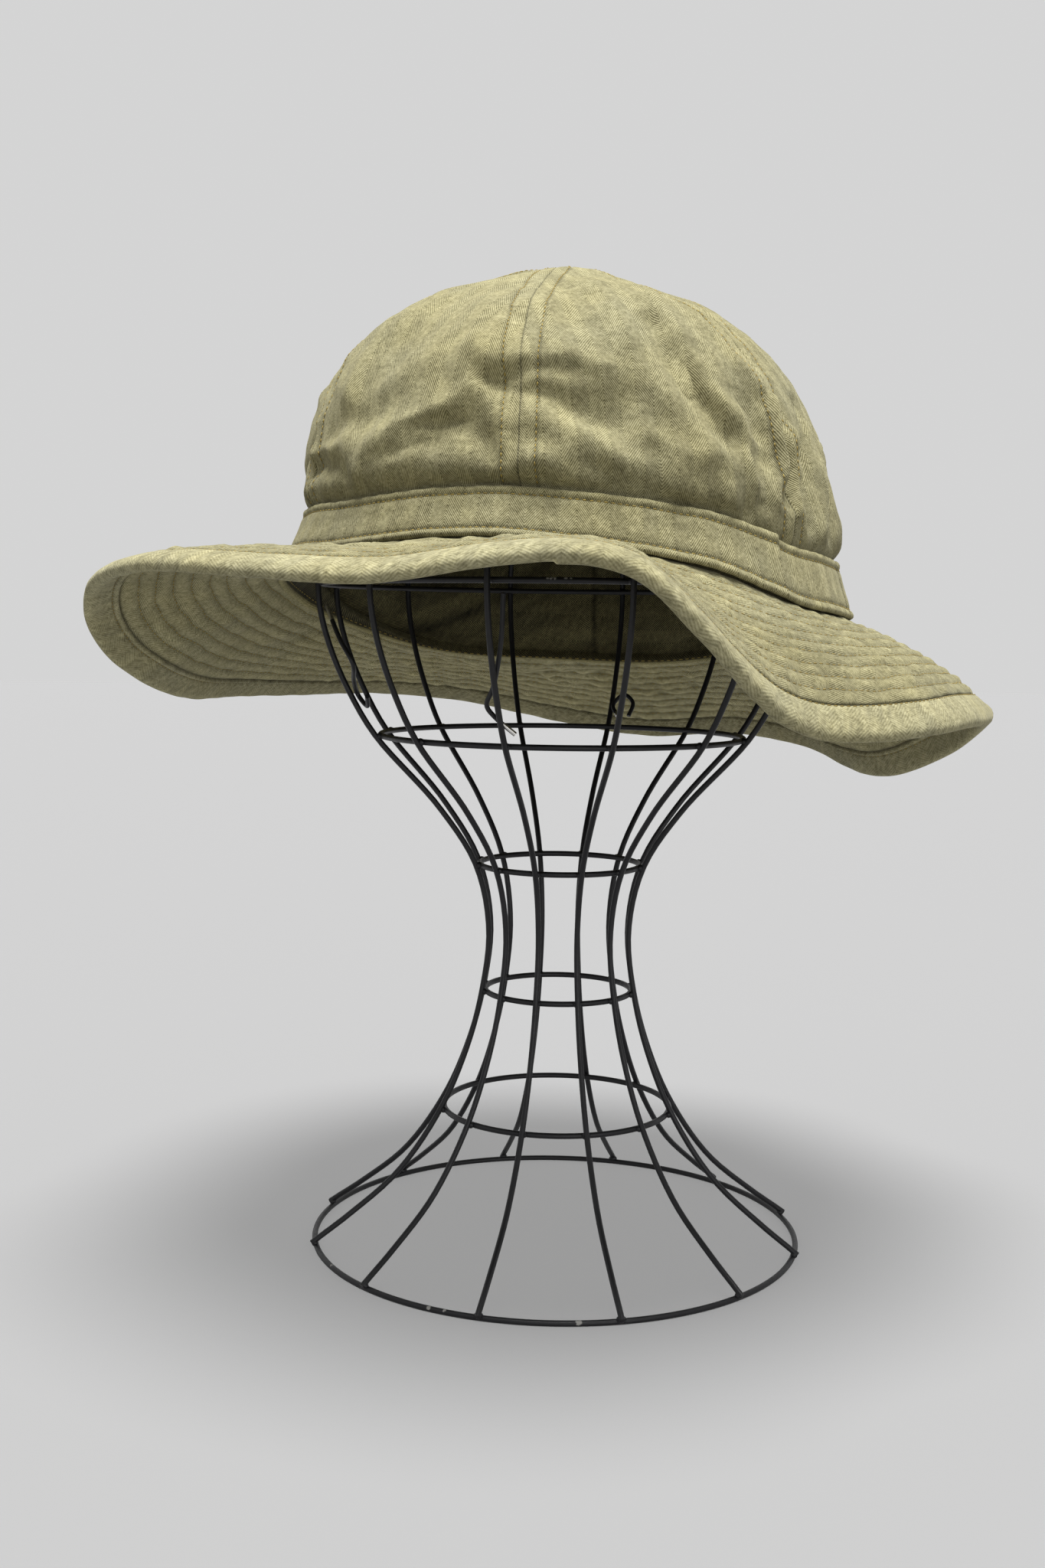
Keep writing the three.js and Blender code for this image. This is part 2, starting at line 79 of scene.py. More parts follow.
@dataclass(frozen=True)
class AzimuthTable:
    """Values that run round the hat, read as smooth closed curves.

    Attributes:
        columns: Names of the value columns.
        rows: Azimuth followed by one value for each column, from -180 upwards.
    """

    columns: tuple[str, ...]
    rows: tuple[tuple[float, ...], ...]

    def at(self, column: str, azimuth: Array) -> Array:
        """Reads one column as a periodic cubic.

        Args:
            column: Name of the column.
            azimuth: Azimuths in degrees.

        Returns:
            The values at those azimuths.
        """
        place = 1 + self.columns.index(column)
        start = np.array([row[0] for row in self.rows])
        value = np.array([row[place] for row in self.rows])
        count = len(start)
        turn = (np.asarray(azimuth, float) + 180.0) % 360.0 - 180.0
        index = np.clip(np.searchsorted(start, turn, side="right") - 1, 0, count - 1)

        def row_at(offset: int) -> tuple[Array, Array]:
            """Start and value of the row that lies offset rows on."""
            lap, slot = np.divmod(index + offset, count)
            return start[slot] + 360.0 * lap, value[slot]

        (a0, v0), (a1, v1), (a2, v2), (a3, v3) = (row_at(k) for k in (-1, 0, 1, 2))
        span = a2 - a1
        t = (turn - a1) / span
        slope_1 = (v2 - v0) / (a2 - a0) * span
        slope_2 = (v3 - v1) / (a3 - a1) * span
        return (
            (2 * t**3 - 3 * t**2 + 1) * v1
            + (t**3 - 2 * t**2 + t) * slope_1
            + (3 * t**2 - 2 * t**3) * v2
            + (t**3 - t**2) * slope_2
        )


def smooth(value: Array) -> Array:
    """Eases a value from 0 to 1; values below 0 and above 1 are clamped."""
    t = np.clip(value, 0.0, 1.0)
    return t * t * (3.0 - 2.0 * t)


def bell(distance: Array, width: float) -> Array:
    """A soft bump of height 1, of which 0.37 is left at a distance of width."""
    return np.exp(-((distance / width) ** 2))


def turn_between(azimuth: Array, middle: float) -> Array:
    """The signed angle from middle to azimuth, from -180 to 180 degrees."""
    return (azimuth - middle + 180.0) % 360.0 - 180.0


def unit(vectors: Array) -> Array:
    """Vectors of length 1 that point the same way."""
    return vectors / np.maximum(np.linalg.norm(vectors, axis=-1, keepdims=True), 1e-9)


def flat_unit(angle: Array) -> Array:
    """Flat vectors of length 1 at an angle in radians."""
    return np.stack([np.cos(angle), np.sin(angle)], -1)


def run_along(line: Array) -> Array:
    """Distance along a line of points to each of them."""
    return np.concatenate([[0.0], np.cumsum(np.linalg.norm(np.diff(line, axis=0), axis=1))])


@dataclass(frozen=True)
class Bump:
    """A soft rise or groove of shape or tone.

    Attributes:
        size: Height in the middle, below 0 for a groove or a darker tone.
        place: Where the middle lies: a distance, or an azimuth in degrees.
        width: Distance from the middle at which 0.37 of it is left.
    """

    size: float
    place: float
    width: float

    def at(self, distance: Array) -> Array:
        """Reads the bump at distances that are measured like its place."""
        return self.size * bell(distance - self.place, self.width)

    def round(self, azimuth: Array) -> Array:
        """Reads a bump whose place is an azimuth, as one column."""
        return self.size * bell(turn_between(azimuth, self.place), self.width)[:, None]


def add_up(bumps: tuple[Bump, ...], distance: Array) -> Array:
    """Sum of several bumps at the same distances."""
    return sum(bump.at(distance) for bump in bumps)


def around(azimuth: Array, radius: Array, height: Array, centre: Array) -> Array:
    """Places spots round an upright axis.

    Args:
        azimuth: Azimuths in degrees.
        radius: Distances from the centre.
        height: Heights.
        centre: The centre's x and y, as an array whose last axis is 2.

    Returns:
        Points, as an array whose last axis is 3.
    """
    turn = np.radians(azimuth)
    flat = np.broadcast_arrays(
        centre[..., 0] + radius * np.sin(turn),
        centre[..., 1] - radius * np.cos(turn),
        height,
    )
    return np.stack(flat, axis=-1)


def change_along(points: Array, closed: bool) -> Array:
    """Change of a grid of points from row to row.

    Args:
        points: Grid of points, rows by columns by 3.
        closed: Whether the last row meets the first.

    Returns:
        One vector for each point.
    """
    if not closed:
        return np.gradient(points, axis=0)
    return np.gradient(np.concatenate([points[-2:-1], points, points[1:2]]), axis=0)[1:-1]


def grid_normals(points: Array, closed: bool) -> Array:
    """Unit normals of a grid of points: along the rows crossed with along the columns."""
    return unit(np.cross(change_along(points, closed), np.gradient(points, axis=1)))


@dataclass(frozen=True)
class Ripple:
    """Irregular soft waves through space, made of a fixed set of sine waves.

    Attributes:
        seed: Number that fixes the set.
        shortest: Shortest wave length.
        longest: Longest wave length.
        size: Height of the waves.
        waves: How many waves are added.
    """

    seed: int
    shortest: float
    longest: float
    size: float = 1.0
    waves: int = 26

    def at(self, points: Array) -> Array:
        """Reads the waves.

        Args:
            points: Spots, as an array whose last axis is 3.

        Returns:
            Heights, mostly from -size to size.
        """
        chance = np.random.default_rng(self.seed)
        total = np.zeros(points.shape[:-1])
        for _ in range(self.waves):
            heading = chance.normal(size=3)
            heading *= 2 * math.pi / (np.linalg.norm(heading) * chance.uniform(self.shortest, self.longest))
            total += np.sin(points @ heading + chance.uniform(0, 2 * math.pi))
        return total * math.sqrt(2.0 / self.waves) * 0.6 * self.size


def ring_waves(azimuth: Array, count: int, wander: float) -> Array:
    """Heights from -1 to 1 of puckers that run once round the hat; wander unsettles their spacing, in radians."""
    turn = np.radians(azimuth)
    return np.sin(count * turn + wander * np.sin(5 * turn) + 0.6 * wander * np.sin(11 * turn + 1.0))


# ---- meshes


def add_object(name: str, data: bpy.types.ID) -> Piece:
    """Puts a mesh, a light or a camera into the scene.

    Args:
        name: Name of the object.
        data: Its mesh, light or camera.

    Returns:
        The object.
    """
    made = bpy.data.objects.new(name, data)
    bpy.context.scene.collection.objects.link(made)
    return made


def write_mesh(bm: bmesh.types.BMesh, name: str) -> bpy.types.Mesh:
    """Writes a working mesh to a new mesh and frees it.

    Args:
        bm: The working mesh.
        name: Name of the new mesh.

    Returns:
        The new mesh.
    """
    mesh = bpy.data.meshes.new(name)
    bm.to_mesh(mesh)
    bm.free()
    return mesh


def loft(
    name: str,
    points: Array,
    uv: Array,
    finish: Material,
    round_rows: bool,
    attribute: Array | None = None,
) -> Piece:
    """Bends a flat grid into a closed wall of cloth.

    The columns run round the wall's section and always close. The rows either close into a
    ring or end in two capped ends.

    Args:
        name: Name of the piece.
        points: Rows by columns by 3, in millimetres.
        uv: Rows by columns by 2, in metres of cloth.
        finish: Material of the piece.
        round_rows: Whether the last row meets the first.
        attribute: Tone of each spot, rows by columns: wear tones together with painted light and shade.

    Returns:
        The new object, at the origin.
    """
    rows, columns = points.shape[:2]
    bm = bmesh.new()
    bmesh.ops.create_grid(bm, x_segments=columns - 1, y_segments=rows - 1, size=1.0)
    mesh = bpy.data.meshes.new(name)
    bm.to_mesh(mesh)
    flat = np.empty(len(mesh.vertices) * 3, np.float32)
    mesh.vertices.foreach_get("co", flat)
    flat = flat.reshape(-1, 3)
    column = np.rint((flat[:, 0] + 1) / 2 * (columns - 1)).astype(int)
    row = np.rint((flat[:, 1] + 1) / 2 * (rows - 1)).astype(int)
    mesh.vertices.foreach_set("co", (points[row, column] * MM).astype(np.float32).ravel())
    corner = np.empty(len(mesh.loops), np.int32)
    mesh.loops.foreach_get("vertex_index", corner)
    layer = mesh.uv_layers.new(name="Cloth")
    layer.data.foreach_set("uv", uv[row, column][corner].astype(np.float32).ravel())
    if attribute is not None:
        # per-point tone: wear tones together with painted light and shade
        tone_and_shading = mesh.attributes.new("tone_and_shading", "FLOAT", "POINT")
        tone_and_shading.data.foreach_set("value", attribute[row, column].astype(np.float32))
    bm.clear()
    bm.from_mesh(mesh)
    bmesh.ops.remove_doubles(bm, verts=bm.verts[:], dist=2e-6)
    if not round_rows:
        open_edges = [edge for edge in bm.edges if edge.is_boundary]
        bmesh.ops.holes_fill(bm, edges=open_edges, sides=0)
        caps = [face for face in bm.faces if len(face.verts) > 4]
        bmesh.ops.triangulate(bm, faces=caps)
    bmesh.ops.recalc_face_normals(bm, faces=bm.faces[:])
    bm.to_mesh(mesh)
    bm.free()
    mesh.shade_smooth()
    mesh.materials.append(finish)
    return add_object(name, mesh)


def sweep_wire(bm: bmesh.types.BMesh, path: Array, radius: float, sides: int) -> None:
    """Extrudes a round section along a path.

    Args:
        bm: Mesh that takes the wire.
        path: Points of the centre line.
        radius: Radius of the wire.
        sides: Number of sides of the section.
    """
    spots = [Vector(spot) for spot in path]
    tangents = [
        (spots[min(i + 1, len(spots) - 1)] - spots[max(i - 1, 0)]).normalized()
        for i in range(len(spots))
    ]
    pose = Matrix.Translation(spots[0]) @ tangents[0].to_track_quat("Z", "Y").to_matrix().to_4x4()
    for _ in ("start", "moving end"):
        made = bmesh.ops.create_circle(bm, cap_ends=True, radius=radius, segments=sides, matrix=pose)
    end = made["verts"][0].link_faces[0]
    for i in range(1, len(spots)):
        end = bmesh.ops.extrude_discrete_faces(bm, faces=[end])["faces"][0]
        bend = tangents[i - 1].rotation_difference(tangents[i]).to_matrix().to_4x4()
        shape = Matrix.Translation(spots[i]) @ bend @ Matrix.Translation(-spots[i - 1])
        bmesh.ops.transform(bm, matrix=shape, verts=list(end.verts))
    bmesh.ops.remove_doubles(bm, verts=bm.verts[:], dist=1e-3)


def catmull(points: Array, steps: int) -> Array:
    """Resamples a smooth open curve at equal steps.

    Args:
        points: Points that the curve passes through.
        steps: Number of steps of the result.

    Returns:
        Steps plus one points.
    """
    padded = np.concatenate([[2 * points[0] - points[1]], points, [2 * points[-1] - points[-2]]])
    knots = [0.0]
    for i in range(1, len(padded)):
        knots.append(knots[-1] + max(np.linalg.norm(padded[i] - padded[i - 1]), 1e-6) ** 0.5)
    fine: list[Array] = []
    for i in range(1, len(padded) - 2):
        k0, k1, k2, k3 = knots[i - 1 : i + 3]
        p0, p1, p2, p3 = padded[i - 1 : i + 3]
        for t in np.linspace(k1, k2, 24, endpoint=i == len(padded) - 3):
            a1 = (k1 - t) / (k1 - k0) * p0 + (t - k0) / (k1 - k0) * p1
            a2 = (k2 - t) / (k2 - k1) * p1 + (t - k1) / (k2 - k1) * p2
            a3 = (k3 - t) / (k3 - k2) * p2 + (t - k2) / (k3 - k2) * p3
            b1 = (k2 - t) / (k2 - k0) * a1 + (t - k0) / (k2 - k0) * a2
            b2 = (k3 - t) / (k3 - k1) * a2 + (t - k1) / (k3 - k1) * a3
            fine.append((k2 - t) / (k2 - k1) * b1 + (t - k1) / (k2 - k1) * b2)
    line = np.array(fine)
    run = run_along(line)
    wanted = np.linspace(0, run[-1], steps + 1)
    return np.stack([np.interp(wanted, run, line[:, k]) for k in range(3)], axis=1)


def finish_piece(piece: Piece, slot: str, *nodes: str) -> None:
    """Hands a piece to the part: its body and the nodes it stands for.

    Args:
        piece: The finished piece.
        slot: Material slot of the record; not used.
        nodes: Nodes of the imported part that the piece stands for.
    """
    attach(piece, BODY)
    if nodes:
        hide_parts(*nodes)
    piece.data.calc_loop_triangles()
    LOG.info("%s: %d triangles", piece.name, len(piece.data.loop_triangles))


# ---- finishes


class NodeBench:
    """Lays out the nodes of one material."""

    def __init__(self, name: str) -> None:
        """Starts an empty material.

        Args:
            name: Name of the material.
        """
        self.material = bpy.data.materials.new(name)
        self.material.use_nodes = True
        self.tree = self.material.node_tree
        self.tree.nodes.clear()
        self.output = self.add("OutputMaterial", {})

    def join(self, source: object, target: Socket) -> None:
        """Links a socket, or sets a constant.

        Args:
            source: Output socket, or a constant.
            target: Input socket.
        """
        if isinstance(source, Socket):
            self.tree.links.new(source, target)
        else:
            target.default_value = source

    def add(self, kind: str, inputs: dict[str | int, object], **settings: object) -> bpy.types.Node:
        """Adds a node.

        Args:
            kind: Type name of the node, without its first part.
            inputs: Sockets and constants by the name or number of the input.
            **settings: Settings of the node by name.

        Returns:
            The node.
        """
        node = self.tree.nodes.new("ShaderNode" + kind)
        for key, value in settings.items():
            setattr(node, key, value)
        for key, value in inputs.items():
            self.join(value, node.inputs[key])
        return node

    def math(self, operation: str, first: object, second: object = 0.0, third: object = 0.0) -> Socket:
        """Result of a sum of up to three values."""
        return self.add("Math", {0: first, 1: second, 2: third}, operation=operation).outputs[0]

    def lean(self, value: object, share: float, base: object) -> Socket:
        """Adds to a base a share of how far a value from 0 to 1 lies above its middle."""
        return self.math("MULTIPLY_ADD", self.math("SUBTRACT", value, 0.5), share, base)

    def object_place(self) -> Socket:
        """Place in the object's own space, in metres."""
        return self.add("TexCoord", {}).outputs["Object"]

    def noise(self, vector: object, scale: float, detail: float = 2.0, roughness: float = 0.5) -> Socket:
        """Noise from about 0 to 1, with scale waves per metre, detail finer layers and roughness as their share."""
        inputs = {"Vector": vector, "Scale": scale, "Detail": detail, "Roughness": roughness}
        return self.add("TexNoise", inputs).outputs[0]

    def spread(
        self, value: object, low: float, high: float, out_low: float = 0.0, out_high: float = 1.0
    ) -> Socket:
        """Maps the values from low to high onto out_low to out_high, and clamps them there."""
        inputs = {"Value": value, "From Min": low, "From Max": high, "To Min": out_low, "To Max": out_high}
        return self.add("MapRange", inputs, clamp=True).outputs[0]

    def vector(self, x: object, y: object, z: object = 0.0) -> Socket:
        """Vector of three values."""
        return self.add("CombineXYZ", {0: x, 1: y, 2: z}).outputs[0]

    def blend(self, share: object, first: object, second: object) -> Socket:
        """Mix of two colours, with the share of the second one."""
        return self.add("Mix", {0: share, 6: first, 7: second}, data_type="RGBA", clamp_factor=True).outputs[2]

    def bump(self, height: object, strength: float, distance: float, below: object = None) -> Socket:
        """Normal of a height of 0 to 1 that is distance metres high, laid over the normal below."""
        inputs = {"Strength": strength, "Distance": distance, "Height": height}
        return self.add("Bump", inputs if below is None else {**inputs, "Normal": below}).outputs[0]

    def surface(self, **values: object) -> Material:
        """Adds the surface shader and finishes the material.

        Args:
            **values: Inputs of the shader by name, with underscores for spaces.

        Returns:
            The material.
        """
        inputs = {key.replace("_", " "): value for key, value in values.items()}
        self.join(self.add("BsdfPrincipled", inputs).outputs[0], self.output.inputs[0])
        return self.material


class Grain(Enum):
    """How the columns of the weave lie on the piece's own cloth map."""

    UPRIGHT = "upright"
    LYING = "lying"


@dataclass(frozen=True)
class HerringboneCloth:
    """Washed olive herringbone cotton.

    Attributes:
        name: Name of the material.
        pale: Colour of the yarn that lies on top.
        mid: Colour between the two yarns.
        dark: Colour in the gaps.
        grain: How the columns lie.
        column: Width of one column of the weave, in metres.
        pitch: Distance between two twill lines, in metres.
        slope: How steeply the twill lines climb.
        relief: Strength of the weave's relief.
        contrast: How strongly the twill lines show.
        grit: How strongly the yarn's unevenness shows.
        stripe: How much brighter every second column is.
        wrinkle_streak: How strongly streaks of painted light and shade, standing for fine puckers and wrinkles, cross
            the cloth.
        stray: How far the columns stray sideways and along, in metres.
        slub_length: Length of a thick spot in the yarn, in metres.
        yarn_height: Height of the weave, in metres.
        crumple_height: Height of the finest crumple, in metres.
    """

    name: str
    pale: Colour = (0.328, 0.303, 0.180, 1.0)
    mid: Colour = (0.176, 0.160, 0.080, 1.0)
    dark: Colour = (0.062, 0.055, 0.024, 1.0)
    grain: Grain = Grain.UPRIGHT
    column: float = 0.0050
    pitch: float = 0.00104
    slope: float = 1.5
    relief: float = 0.55
    contrast: float = 0.95
    grit: float = 0.9
    stripe: float = 0.11
    # strength of painted light and shade of fine puckers and wrinkles
    wrinkle_streak: float = 0.0
    stray: tuple[float, float] = (0.0012, 0.0010)
    slub_length: float = 0.0016
    yarn_height: float = 0.00022
    crumple_height: float = 0.0011

    def make(self) -> Material:
        """Builds the material.

        Returns:
            The material.
        """
        bench = NodeBench(self.name)
        uv = bench.add("UVMap", {}, uv_map="Cloth")
        parts = bench.add("SeparateXYZ", {0: uv.outputs[0]})
        if self.grain is Grain.UPRIGHT:
            across, along = parts.outputs[0], parts.outputs[1]
        else:
            across, along = parts.outputs[1], parts.outputs[0]
        cloth = bench.vector(across, along)

        drift = bench.noise(cloth, 45.0, 1.0)
        across = bench.math("MULTIPLY_ADD", drift, self.stray[0], across)
        drift_up = bench.noise(bench.vector(along, across), 60.0, 1.0)
        along = bench.math("MULTIPLY_ADD", drift_up, self.stray[1], along)

        fold = bench.math("PINGPONG", across, self.column)
        turned = bench.math("GREATER_THAN", bench.math("FRACT", bench.math("DIVIDE", across, self.column * 2)), 0.5)
        climb = bench.math("MULTIPLY_ADD", fold, self.slope, along)
        phase = bench.math("DIVIDE", climb, self.pitch)
        line = bench.math("SINE", bench.math("MULTIPLY", phase, 2 * math.pi))
        line = bench.math("MULTIPLY_ADD", line, 0.5, 0.5)
        spine = bench.math("ABSOLUTE", bench.math("SUBTRACT", bench.math("DIVIDE", fold, self.column), 0.5))
        spine = bench.spread(spine, 0.44, 0.5)

        run = bench.math("DIVIDE", bench.math("MULTIPLY_ADD", fold, -self.slope, along), self.slub_length)
        slub = bench.noise(bench.vector(bench.math("MULTIPLY", phase, 0.8), run), 1.0, 2.0, 0.6)
        fuzz = bench.noise(cloth, 2300.0, 2.0, 0.65)
        marl = bench.noise(cloth, 520.0, 3.0, 0.6)
        blotch = bench.noise(cloth, 130.0, 3.0, 0.6)
        cloud = bench.noise(cloth, 32.0, 3.0, 0.55)

        top = bench.lean(line, 0.55 * self.contrast, 0.52)
        for yarn_noise, share in ((slub, 0.75), (fuzz, 0.55), (marl, 0.75)):
            top = bench.lean(yarn_noise, share * self.grit, top)
        top = bench.math("MULTIPLY_ADD", spine, -0.06, top)
        yarn = bench.blend(bench.spread(top, 0.10, 0.50), self.dark, self.mid)
        yarn = bench.blend(bench.spread(top, 0.46, 0.95), yarn, self.pale)
        fade = bench.noise(bench.vector(along, across), 24.0, 3.0, 0.6)
        hue = bench.blend(bench.spread(fade, 0.32, 0.68), (1.015, 1.0, 0.95, 1.0), (0.99, 1.0, 1.05, 1.0))
        dyed = bench.add("VectorMath", {0: yarn, 1: hue}, operation="MULTIPLY")

        # tone attribute: wear tones together with painted light and shade, added to the cloth's brightness
        tone_and_shading = bench.add("Attribute", {}, attribute_name="tone_and_shading")
        bright = bench.spread(cloud, 0.3, 0.7, 0.87, 1.11)
        bright = bench.math("MULTIPLY", bright, bench.spread(blotch, 0.3, 0.7, 0.90, 1.10))
        bright = bench.lean(turned, self.stripe, bright)
        # streaks of painted light and shade that stand for fine puckers and wrinkles
        if self.wrinkle_streak:
            slanted = bench.math("MULTIPLY_ADD", parts.outputs[1], 0.6, parts.outputs[0])
            streak_place = bench.vector(bench.math("MULTIPLY", slanted, 3.4), parts.outputs[1])
            bright = bench.lean(bench.noise(streak_place, 130.0, 2.0, 0.6), self.wrinkle_streak, bright)
        bright = bench.math("ADD", tone_and_shading.outputs["Fac"], bright)
        tint = bench.add("VectorMath", {0: dyed.outputs[0], "Scale": bright}, operation="SCALE")

        height = bench.math("MULTIPLY_ADD", fuzz, 0.5, bench.math("MULTIPLY_ADD", slub, 0.6, line))
        weave = bench.bump(height, self.relief, self.yarn_height)
        crumple = bench.bump(bench.noise(cloth, 150.0, 3.0, 0.55), 0.5, self.crumple_height, weave)
        return bench.surface(
            Base_Color=tint.outputs[0],
            Roughness=0.93,
            Specular_IOR_Level=0.15,
            Sheen_Weight=0.12,
            Sheen_Roughness=0.45,
            Sheen_Tint=(0.78, 0.74, 0.52, 1.0),
            Normal=crumple,
        )


@dataclass(frozen=True)
class SewingThread:
    """Mustard sewing thread.

    Attributes:
        name: Name of the material.
        colour: Colour of the thread in the light.
        shade: Colour between its plies.
    """

    name: str
    colour: Colour = (0.30, 0.222, 0.048, 1.0)
    shade: Colour = (0.13, 0.090, 0.020, 1.0)

    def make(self) -> Material:
        """Builds the material.

        Returns:
            The material.
        """
        bench = NodeBench(self.name)
        twist = bench.noise(bench.object_place(), 2200.0)
        colour = bench.blend(bench.spread(twist, 0.3, 0.7), self.shade, self.colour)
        return bench.surface(
            Base_Color=colour,
            Roughness=0.75,
            Specular_IOR_Level=0.3,
            Normal=bench.bump(twist, 0.3, 0.0001),
        )


@dataclass(frozen=True)
class BlackPaint:
    """Thin black paint over steel wire, with a few pale chips.

    Attributes:
        name: Name of the material.
        colour: Colour of the paint.
        thin: Colour of the paint where it is worn thin.
        chip: Colour of the bare spots.
        chips: Places of the bare spots in metres, each followed by its radius.
    """

    name: str
    colour: Colour = (0.006, 0.006, 0.007, 1.0)
    thin: Colour = (0.012, 0.012, 0.014, 1.0)
    chip: Colour = (0.22, 0.215, 0.20, 1.0)
    chips: tuple[tuple[float, float, float, float], ...] = ()

    def make(self) -> Material:
        """Builds the material.

        Returns:
            The material.
        """
        bench = NodeBench(self.name)
        place = bench.object_place()
        grit = bench.noise(place, 900.0, 3.0, 0.6)
        cloud = bench.noise(place, 120.0)
        bare: object = 0.0
        for x, y, z, radius in self.chips:
            gap = bench.add("VectorMath", {0: place, 1: (x, y, z)}, operation="DISTANCE")
            ragged = bench.lean(grit, radius * 2.2, gap.outputs["Value"])
            spot = bench.spread(ragged, radius * 0.75, radius, 1.0, 0.0)
            bare = bench.math("MAXIMUM", bare, spot)
        paint = bench.blend(bench.spread(cloud, 0.35, 0.65, 0.0, 0.5), self.colour, self.thin)
        colour = bench.blend(bare, paint, self.chip)
        return bench.surface(
            Base_Color=colour,
            Roughness=bench.spread(grit, 0.3, 0.7, 0.34, 0.50),
            Specular_IOR_Level=0.30,
            Normal=bench.bump(grit, 0.12, 0.0002),
        )


@dataclass(frozen=True)
class BareSteel:
    """Bright worn steel at the ends of the clips.

    Attributes:
        name: Name of the material.
        colour: Colour of the steel.
    """

    name: str
    colour: Colour = (0.55, 0.54, 0.52, 1.0)

    def make(self) -> Material:
        """Builds the material.

        Returns:
            The material.
        """
        bench = NodeBench(self.name)
        grit = bench.noise(bench.object_place(), 1500.0)
        return bench.surface(
            Base_Color=self.colour,
            Metallic=1.0,
            Roughness=bench.spread(grit, 0.3, 0.7, 0.25, 0.42),
            Normal=bench.bump(grit, 0.15, 0.0001),
        )


@dataclass(frozen=True)
class PaleGround:
    """Plain pale floor.

    Attributes:
        name: Name of the material.
        colour: Colour of the floor.
    """

    name: str
    colour: Colour = (0.1015, 0.1015, 0.1015, 1.0)

    def make(self) -> Material:
        """Builds the material."""
        return NodeBench(self.name).surface(Base_Color=self.colour, Roughness=0.85, Specular_IOR_Level=0.2)


# ---- the hat's form


